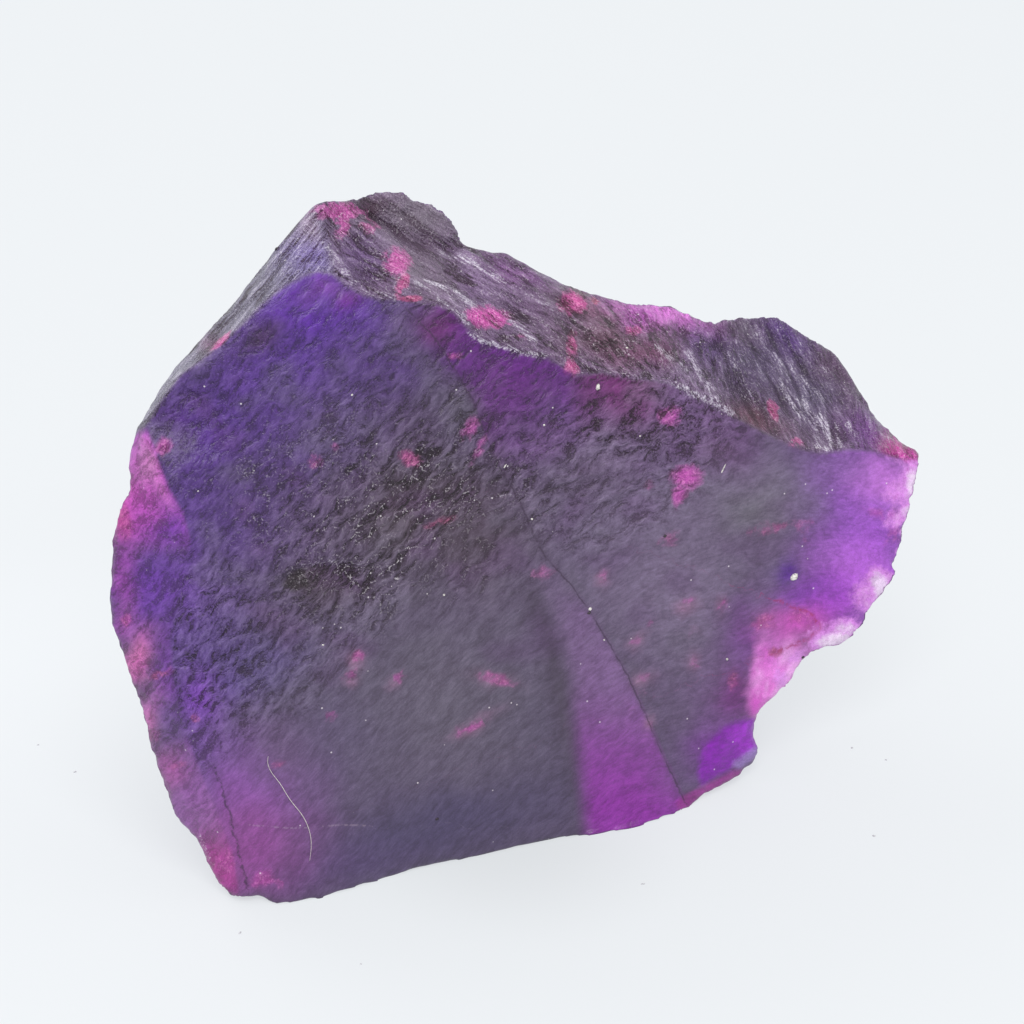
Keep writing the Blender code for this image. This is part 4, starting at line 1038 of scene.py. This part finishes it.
    # a brushed look, even where it is smooth
    hair = n.noise(n.join(m("MULTIPLY", grain[0], 1 / 8), m("MULTIPLY", m("ADD", grain[1], m("MULTIPLY", warp, 7.0)), 1 / 2.5), grain[2]), 1.0, 1.0, 0.6)
    calm = span(parts[0], 0.16, 0.60, 1.0, 0.35)
    colour = n.mix(calm, colour, n.mix(1.0, colour, n.mix(span(hair, 0.25, 0.75), (0.86, 0.85, 0.86, 1), (1.13, 1.13, 1.13, 1)), "MULTIPLY"))
    colour = n.mix(calm, colour, n.mix(1.0, colour, n.mix(span(broad, 0.3, 0.7), (0.90, 0.88, 0.90, 1), (1.09, 1.10, 1.09, 1)), "MULTIPLY"))
    # painted highlights on the crests of the top
    highlit = m("MULTIPLY", span(m("ADD", highlight, m("MULTIPLY", lie, 0.30)), 0.42, 1.10), span(hair, 0.43, 0.55))
    colour = n.mix(m("MULTIPLY", highlit, m("ADD", 0.26, m("MULTIPLY", span(grit, 0.40, 0.60), 0.56))), colour, rgba(214, 206, 222))

    # cracks, a painted shadow along the long crack, and the scratch
    def line(d, width):
        return m("POWER", 2.718, m("MULTIPLY", m("POWER", m("DIVIDE", d, width), 2.0), -1.0))

    jitter = m("MULTIPLY", m("SUBTRACT", mottle, 0.5), 6.0)
    crack = m("MULTIPLY", line(m("ADD", lines[0], jitter), 1.4), span(cloud, 0.34, 0.50, 0.5, 1.0))
    heel = m("MULTIPLY", line(m("ADD", lines[1], m("MULTIPLY", jitter, 1.8)), 1.4), m("MULTIPLY", span(torn, 0.34, 0.52), 1.0))
    vein = m("MULTIPLY", line(m("ADD", extra[1], m("MULTIPLY", jitter, 0.8)), 2.2), span(torn, 0.36, 0.60))
    colour = n.mix(m("MULTIPLY", vein, 0.7), colour, rgba(150, 30, 96))
    shadow = m("MULTIPLY", line(m("ADD", lines[0], jitter), 5.0), 0.25)
    cracks_and_shadow = m("MAXIMUM", m("MAXIMUM", crack, heel), shadow)
    colour = n.mix(m("MULTIPLY", cracks_and_shadow, 0.72), colour, rgba(46, 25, 52))
    scratch = m("MULTIPLY", line(lines[2], 0.9), span(torn, 0.46, 0.56))
    colour = n.mix(m("MULTIPLY", scratch, 0.32), colour, rgba(170, 150, 170))

    # painted glints, in swarms, most of them short bent strokes, and small dark specks painted as shade in pits
    spark_d, spark_c = n.cells(mm, 2.2)
    chance = n.split(spark_c)
    pit_shade = m("MULTIPLY", span(spark_d, 0.10, 0.34, 1.0, 0.0), m("GREATER_THAN", chance[1], 0.62))
    colour = n.mix(m("MULTIPLY", pit_shade, m("ADD", 0.04, m("MULTIPLY", rough, 0.42))), colour, rgba(54, 36, 58))
    swarm = m("MULTIPLY", span(cloud, 0.44, 0.56), m("MULTIPLY", m("MULTIPLY", extra[2], rough), m("ADD", 0.20, m("MULTIPLY", broken, 0.80))))
    swarm = m("MAXIMUM", swarm, m("MULTIPLY", highlight, 0.6))
    edge = n.new("ShaderNodeTexVoronoi", feature="DISTANCE_TO_EDGE")
    n.link(mm, edge.inputs["Vector"])
    edge.inputs["Scale"].default_value = 1.9
    stroke = m("MULTIPLY", span(edge.outputs["Distance"], 0.02, 0.10, 1.0, 0.0), span(grit, 0.50, 0.58))
    lucky = m("GREATER_THAN", m("ADD", chance[0], m("MULTIPLY", swarm, 0.30)), 0.985)
    spark = m("MULTIPLY", span(spark_d, 0.08, 0.20, 1.0, 0.0), lucky)
    glint = m("MAXIMUM", m("MULTIPLY", spark, 0.8), m("MULTIPLY", m("MULTIPLY", stroke, swarm), 0.78))
    colour = n.mix(m("MULTIPLY", glint, 0.85), colour, rgba(236, 228, 234))
    n.link(colour, n.shader.inputs["Base Color"])

    # gloss
    gloss = m("ADD", 0.34, m("MULTIPLY", mottle, 0.10))
    gloss = m("ADD", gloss, m("MULTIPLY", rough, 0.16))
    gloss = m("SUBTRACT", gloss, m("MULTIPLY", top, 0.31))
    n.link(gloss, n.shader.inputs["Roughness"])
    n.shader.inputs["IOR"].default_value = 1.5

    # relief too fine for the mesh
    fold = m("MULTIPLY", height, m("ADD", 0.10, m("ADD", m("MULTIPLY", rough, 0.60), m("MULTIPLY", top, 0.40))))
    bump = n.new("ShaderNodeBump")
    bump.inputs["Strength"].default_value = 0.85
    bump.inputs["Distance"].default_value = 0.00012
    n.link(fold, bump.inputs["Height"])
    n.link(bump.outputs["Normal"], n.shader.inputs["Normal"])
    return material


# ---------------------------------------------------------------- lint and dust
# A fibre of lint on the broad face, and crumbs of dust: x, y, half length, half width, turn.
FIBRE = [(268, 756), (267, 762), (270, 771), (281, 784), (289, 799), (302, 814), (308, 826), (311, 838), (311, 849), (309.5, 860)]
PALE_CRUMBS = [
    (598, 387, 3.4, 2.2, 75), (544, 425, 1.3, 1.1, 0), (590, 609, 2.0, 1.6, 30), (794, 577, 4.6, 3.9, 20), (723.5, 468.5, 5.4, 0.7, 61), (444, 595, 1.4, 1.2, 0),
    (532, 519, 1.3, 1.0, 0), (727, 659, 1.5, 1.4, 0), (627, 348, 1.5, 1.2, 0), (713, 790, 2.0, 1.6, 0), (604, 640, 1.0, 0.9, 0),
    (323, 645, 1.1, 1.0, 0), (505, 466, 2.6, 0.9, 50), (640, 436, 1.1, 0.9, 0), (352, 395, 1.2, 1.0, 0),
]
DARK_CRUMBS = [(277, 249, 2.4, 2.0, 0), (803, 657, 2.0, 1.6, 0), (589, 613, 2.2, 1.4, 20), (665, 536, 1.8, 1.6, 0), (437, 819, 1.8, 1.5, 0)]
FLOOR_CRUMBS = [(38, 745), (75, 772), (240, 933), (361, 964), (874, 836), (643, 884), (886, 760), (852, 748)]


def on_skin(tree, x, y):
    way = Vector(-TOWARDS + RIGHT * (x - SHEET / 2) / EYE + UP * (SHEET / 2 - y) / EYE).normalized()
    hit = tree.ray_cast(Vector(EYE_POINT), way, 1.0)
    return hit[0], hit[1]


def kept_in(points, margin=2e-5):
    low, high = np.array(cad_box[0]) + margin, np.array(cad_box[1]) - margin
    return np.clip(np.array([tuple(p) for p in points]), low, high)


def mesh_object(name, points, faces, material):
    mesh = bpy.data.meshes.new(name)
    mesh.from_pydata([tuple(p) for p in points], [], faces)
    mesh.materials.append(material)
    mesh.shade_smooth()
    obj = bpy.data.objects.new(name, mesh)
    bpy.context.scene.collection.objects.link(obj)
    return obj


def fibre(tree, material):
    path = []
    for (ax, ay), (bx, by) in zip(FIBRE, FIBRE[1:]):
        for k in range(5):
            path.append((ax + (bx - ax) * k / 5, ay + (by - ay) * k / 5))
    path.append(FIBRE[-1])
    centre = []
    for x, y in path:
        place, normal = on_skin(tree, x, y)
        centre.append(place + normal * 7e-5)
    for _ in range(6):
        centre = [centre[0]] + [(a + b * 2 + c) / 4 for a, b, c in zip(centre, centre[1:], centre[2:])] + [centre[-1]]
    points, faces, sides = [], [], 7
    for i, c in enumerate(centre):
        run = (centre[min(i + 1, len(centre) - 1)] - centre[max(i - 1, 0)]).normalized()
        u = run.cross(Vector(TOWARDS)).normalized()
        v = run.cross(u)
        r = 3.1e-5 * (1.0 - 0.45 * abs(i / (len(centre) - 1) - 0.5) * 2)
        for k in range(sides):
            a = 2 * math.pi * k / sides
            points.append(c + (u * math.cos(a) + v * math.sin(a)) * r)
    for i in range(len(centre) - 1):
        for k in range(sides):
            a, b = i * sides + k, i * sides + (k + 1) % sides
            faces.append((a, b, b + sides, a + sides))
    faces.append(tuple(range(sides - 1, -1, -1)))
    last = (len(centre) - 1) * sides
    faces.append(tuple(last + k for k in range(sides)))
    return mesh_object("lint", kept_in(points), faces, material)


def crumbs(name, places, material, keep=True):
    """Small angular lumps.  places: (position, normal, half length, half width, turn)."""
    points, faces = [], []
    for index, (place, normal, rx, ry, turn) in enumerate(places):
        ball = bmesh.new()
        bmesh.ops.create_icosphere(ball, subdivisions=2, radius=1.0)
        n = Vector(normal)
        u = Vector(RIGHT) - n * Vector(RIGHT).dot(n)
        u.normalize()
        v = n.cross(u)
        a = math.radians(turn)
        u, v = u * math.cos(a) + v * math.sin(a), v * math.cos(a) - u * math.sin(a)
        shape = np.array([tuple(w.co) for w in ball.verts])
        shape *= 1 + 0.30 * noise(shape * 1.4 + index * 7.3, 91)[:, None]
        first = len(points)
        for px, py, pz in shape:
            points.append(Vector(place) + (u * px * rx + v * py * ry + n * (pz * min(rx, ry) * 0.8)) * UNIT)
        for f in ball.faces:
            faces.append(tuple(first + w.index for w in f.verts))
        ball.free()
    return mesh_object(name, kept_in(points) if keep else points, faces, material)


def speckled(name, dark, pale, roughness):
    """Dust and lint: two colours stirred together, and a dull uneven surface."""
    material = bpy.data.materials.new(name)
    n = Nodes(material)
    place = n.vmath("SCALE", n.new("ShaderNodeTexCoord").outputs["Object"], scale=1000.0)
    stir = n.noise(place, 9.0, 3.0, 0.6)
    n.link(n.mix(n.span(stir, 0.35, 0.65), rgba(*dark), rgba(*pale)), n.shader.inputs["Base Color"])
    n.link(n.math("ADD", roughness, n.math("MULTIPLY", stir, 0.2)), n.shader.inputs["Roughness"])
    return material


skin = make_skin()
paint_skin(skin)
skin.data.materials.append(stone_material())
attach(skin, "root")
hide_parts("stone")

bpy.context.view_layer.update()
tree = BVHTree.FromPolygons([tuple(v.co) for v in skin.data.vertices], [tuple(p.vertices) for p in skin.data.polygons])


def placed(listed):
    out = []
    for x, y, rx, ry, turn in listed:
        place, normal = on_skin(tree, x, y)
        if place is not None:
            out.append((place, normal, rx, ry, turn))
    return out


lint = fibre(tree, speckled("lint_fibre", (186, 176, 178), (222, 214, 210), 0.6))
pale_dust = crumbs("pale_dust", placed(PALE_CRUMBS), speckled("pale_grit", (168, 164, 160), (236, 232, 226), 0.6))
dark_dust = crumbs("dark_dust", placed(DARK_CRUMBS), speckled("dark_grit", (34, 26, 40), (74, 64, 70), 0.6))
for piece in (lint, pale_dust, dark_dust):
    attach(piece, "root")
    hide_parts("stone")

# ---------------------------------------------------------------- floor, light, camera
scene = bpy.context.scene
scene.view_settings.view_transform = "Standard"

floor_mesh = bpy.data.meshes.new("floor")
floor_mesh.from_pydata([(-3, -3, 0), (3, -3, 0), (3, 3, 0), (-3, 3, 0)], [], [(0, 1, 2, 3)])
floor = bpy.data.objects.new("floor", floor_mesh)
scene.collection.objects.link(floor)
paper = bpy.data.materials.new("paper")
paper.use_nodes = True
sheet_shader = paper.node_tree.nodes["Principled BSDF"]
sheet_shader.inputs["Base Color"].default_value = (0.20, 0.205, 0.21, 1)
sheet_shader.inputs["Roughness"].default_value = 0.9
sheet_shader.inputs["Specular IOR Level"].default_value = 0.1
sheet_shader.inputs["Emission Color"].default_value = (0.955, 0.99, 1.02, 1)  # a sheet lit from beneath
sheet_shader.inputs["Emission Strength"].default_value = 0.64


def on_floor(x, y):
    way = -TOWARDS + RIGHT * (x - SHEET / 2) / EYE + UP * (SHEET / 2 - y) / EYE
    return EYE_POINT + way * (-EYE_POINT[2] / way[2])


sheet_nodes = Nodes.__new__(Nodes)
sheet_nodes.tree = paper.node_tree
# a painted pool of light on the floor to the left of the stone, and a painted contact shadow under its bottom edge
away = sheet_nodes.new("ShaderNodeVectorMath", operation="DISTANCE")
sheet_nodes.link(sheet_nodes.new("ShaderNodeTexCoord").outputs["Object"], away.inputs[0])
away.inputs[1].default_value = tuple(on_floor(100, 660))
painted_light_pool = sheet_nodes.math("MULTIPLY", sheet_nodes.span(away.outputs["Value"], 0.026, 0.0), 0.034)
under = sheet_nodes.new("ShaderNodeVectorMath", operation="DISTANCE")
sheet_nodes.link(away.inputs[0].links[0].from_socket, under.inputs[0])
under.inputs[1].default_value = tuple(on_floor(520, 842))
painted_shadow = sheet_nodes.math("MULTIPLY", sheet_nodes.span(under.outputs["Value"], 0.015, 0.001), 0.075)
sheet_nodes.link(sheet_nodes.math("SUBTRACT", sheet_nodes.math("ADD", 0.63, painted_light_pool), painted_shadow), sheet_shader.inputs["Emission Strength"])
floor_mesh.materials.append(paper)


specks = crumbs("floor_dust", [(on_floor(x, y), (0, 0, 1), 1.3 + 0.5 * (i % 3), 1.2, 37 * i) for i, (x, y) in enumerate(FLOOR_CRUMBS)],
                speckled("floor_grit", (176, 176, 180), (206, 206, 210), 0.7), keep=False)

world = bpy.data.worlds.new("tent")
scene.world = world
world.use_nodes = True
tent = Nodes.__new__(Nodes)
tent.tree = world.node_tree
back = world.node_tree.nodes["Background"]
way = tent.vmath("NORMALIZE", tent.new("ShaderNodeTexCoord").outputs["Generated"])
# the tent is open, and dim, where the camera looks in, and brightest overhead
opening = tent.new("ShaderNodeVectorMath", operation="DOT_PRODUCT")
tent.link(way, opening.inputs[0])
opening.inputs[1].default_value = (TOWARDS[0], TOWARDS[1], 0.12)
dim = tent.span(opening.outputs["Value"], 0.10, 0.66)
overhead = tent.span(tent.split(way)[2], 0.05, 0.85)
light = tent.math("ADD", 0.40, tent.math("MULTIPLY", overhead, 0.70))
light = tent.math("MULTIPLY", light, tent.math("SUBTRACT", 1.0, tent.math("MULTIPLY", dim, 0.66)))
tent.link(light, back.inputs["Strength"])
back.inputs["Color"].default_value = (0.98, 0.99, 1.0, 1)

cam = bpy.data.cameras.new("camera")
cam.sensor_width = 36
cam.lens = 36 * EYE / SHEET
cam.clip_start = 0.01
cam_obj = bpy.data.objects.new("camera", cam)
scene.collection.objects.link(cam_obj)
place = Matrix((Vector(RIGHT), Vector(UP), Vector(TOWARDS))).transposed().to_4x4()
place.translation = Vector(EYE_POINT)
cam_obj.matrix_world = place
scene.camera = cam_obj

def softbox(name, place, size, energy):
    light = bpy.data.lights.new(name, "AREA")
    light.shape = "DISK"
    light.size = size
    light.energy = energy
    obj = bpy.data.objects.new(name, light)
    obj.location = place
    obj.rotation_euler = Vector(place).to_track_quat("Z", "Y").to_euler()
    scene.collection.objects.link(obj)


softbox("key", tuple(TOWARDS * (0.45, 0.45, 0.0) + RIGHT * 0.03 + (0.0, 0.0, 0.50)), 0.42, 3.0)
softbox("rim", (-0.30, 0.50, 0.54), 0.40, 1.3)
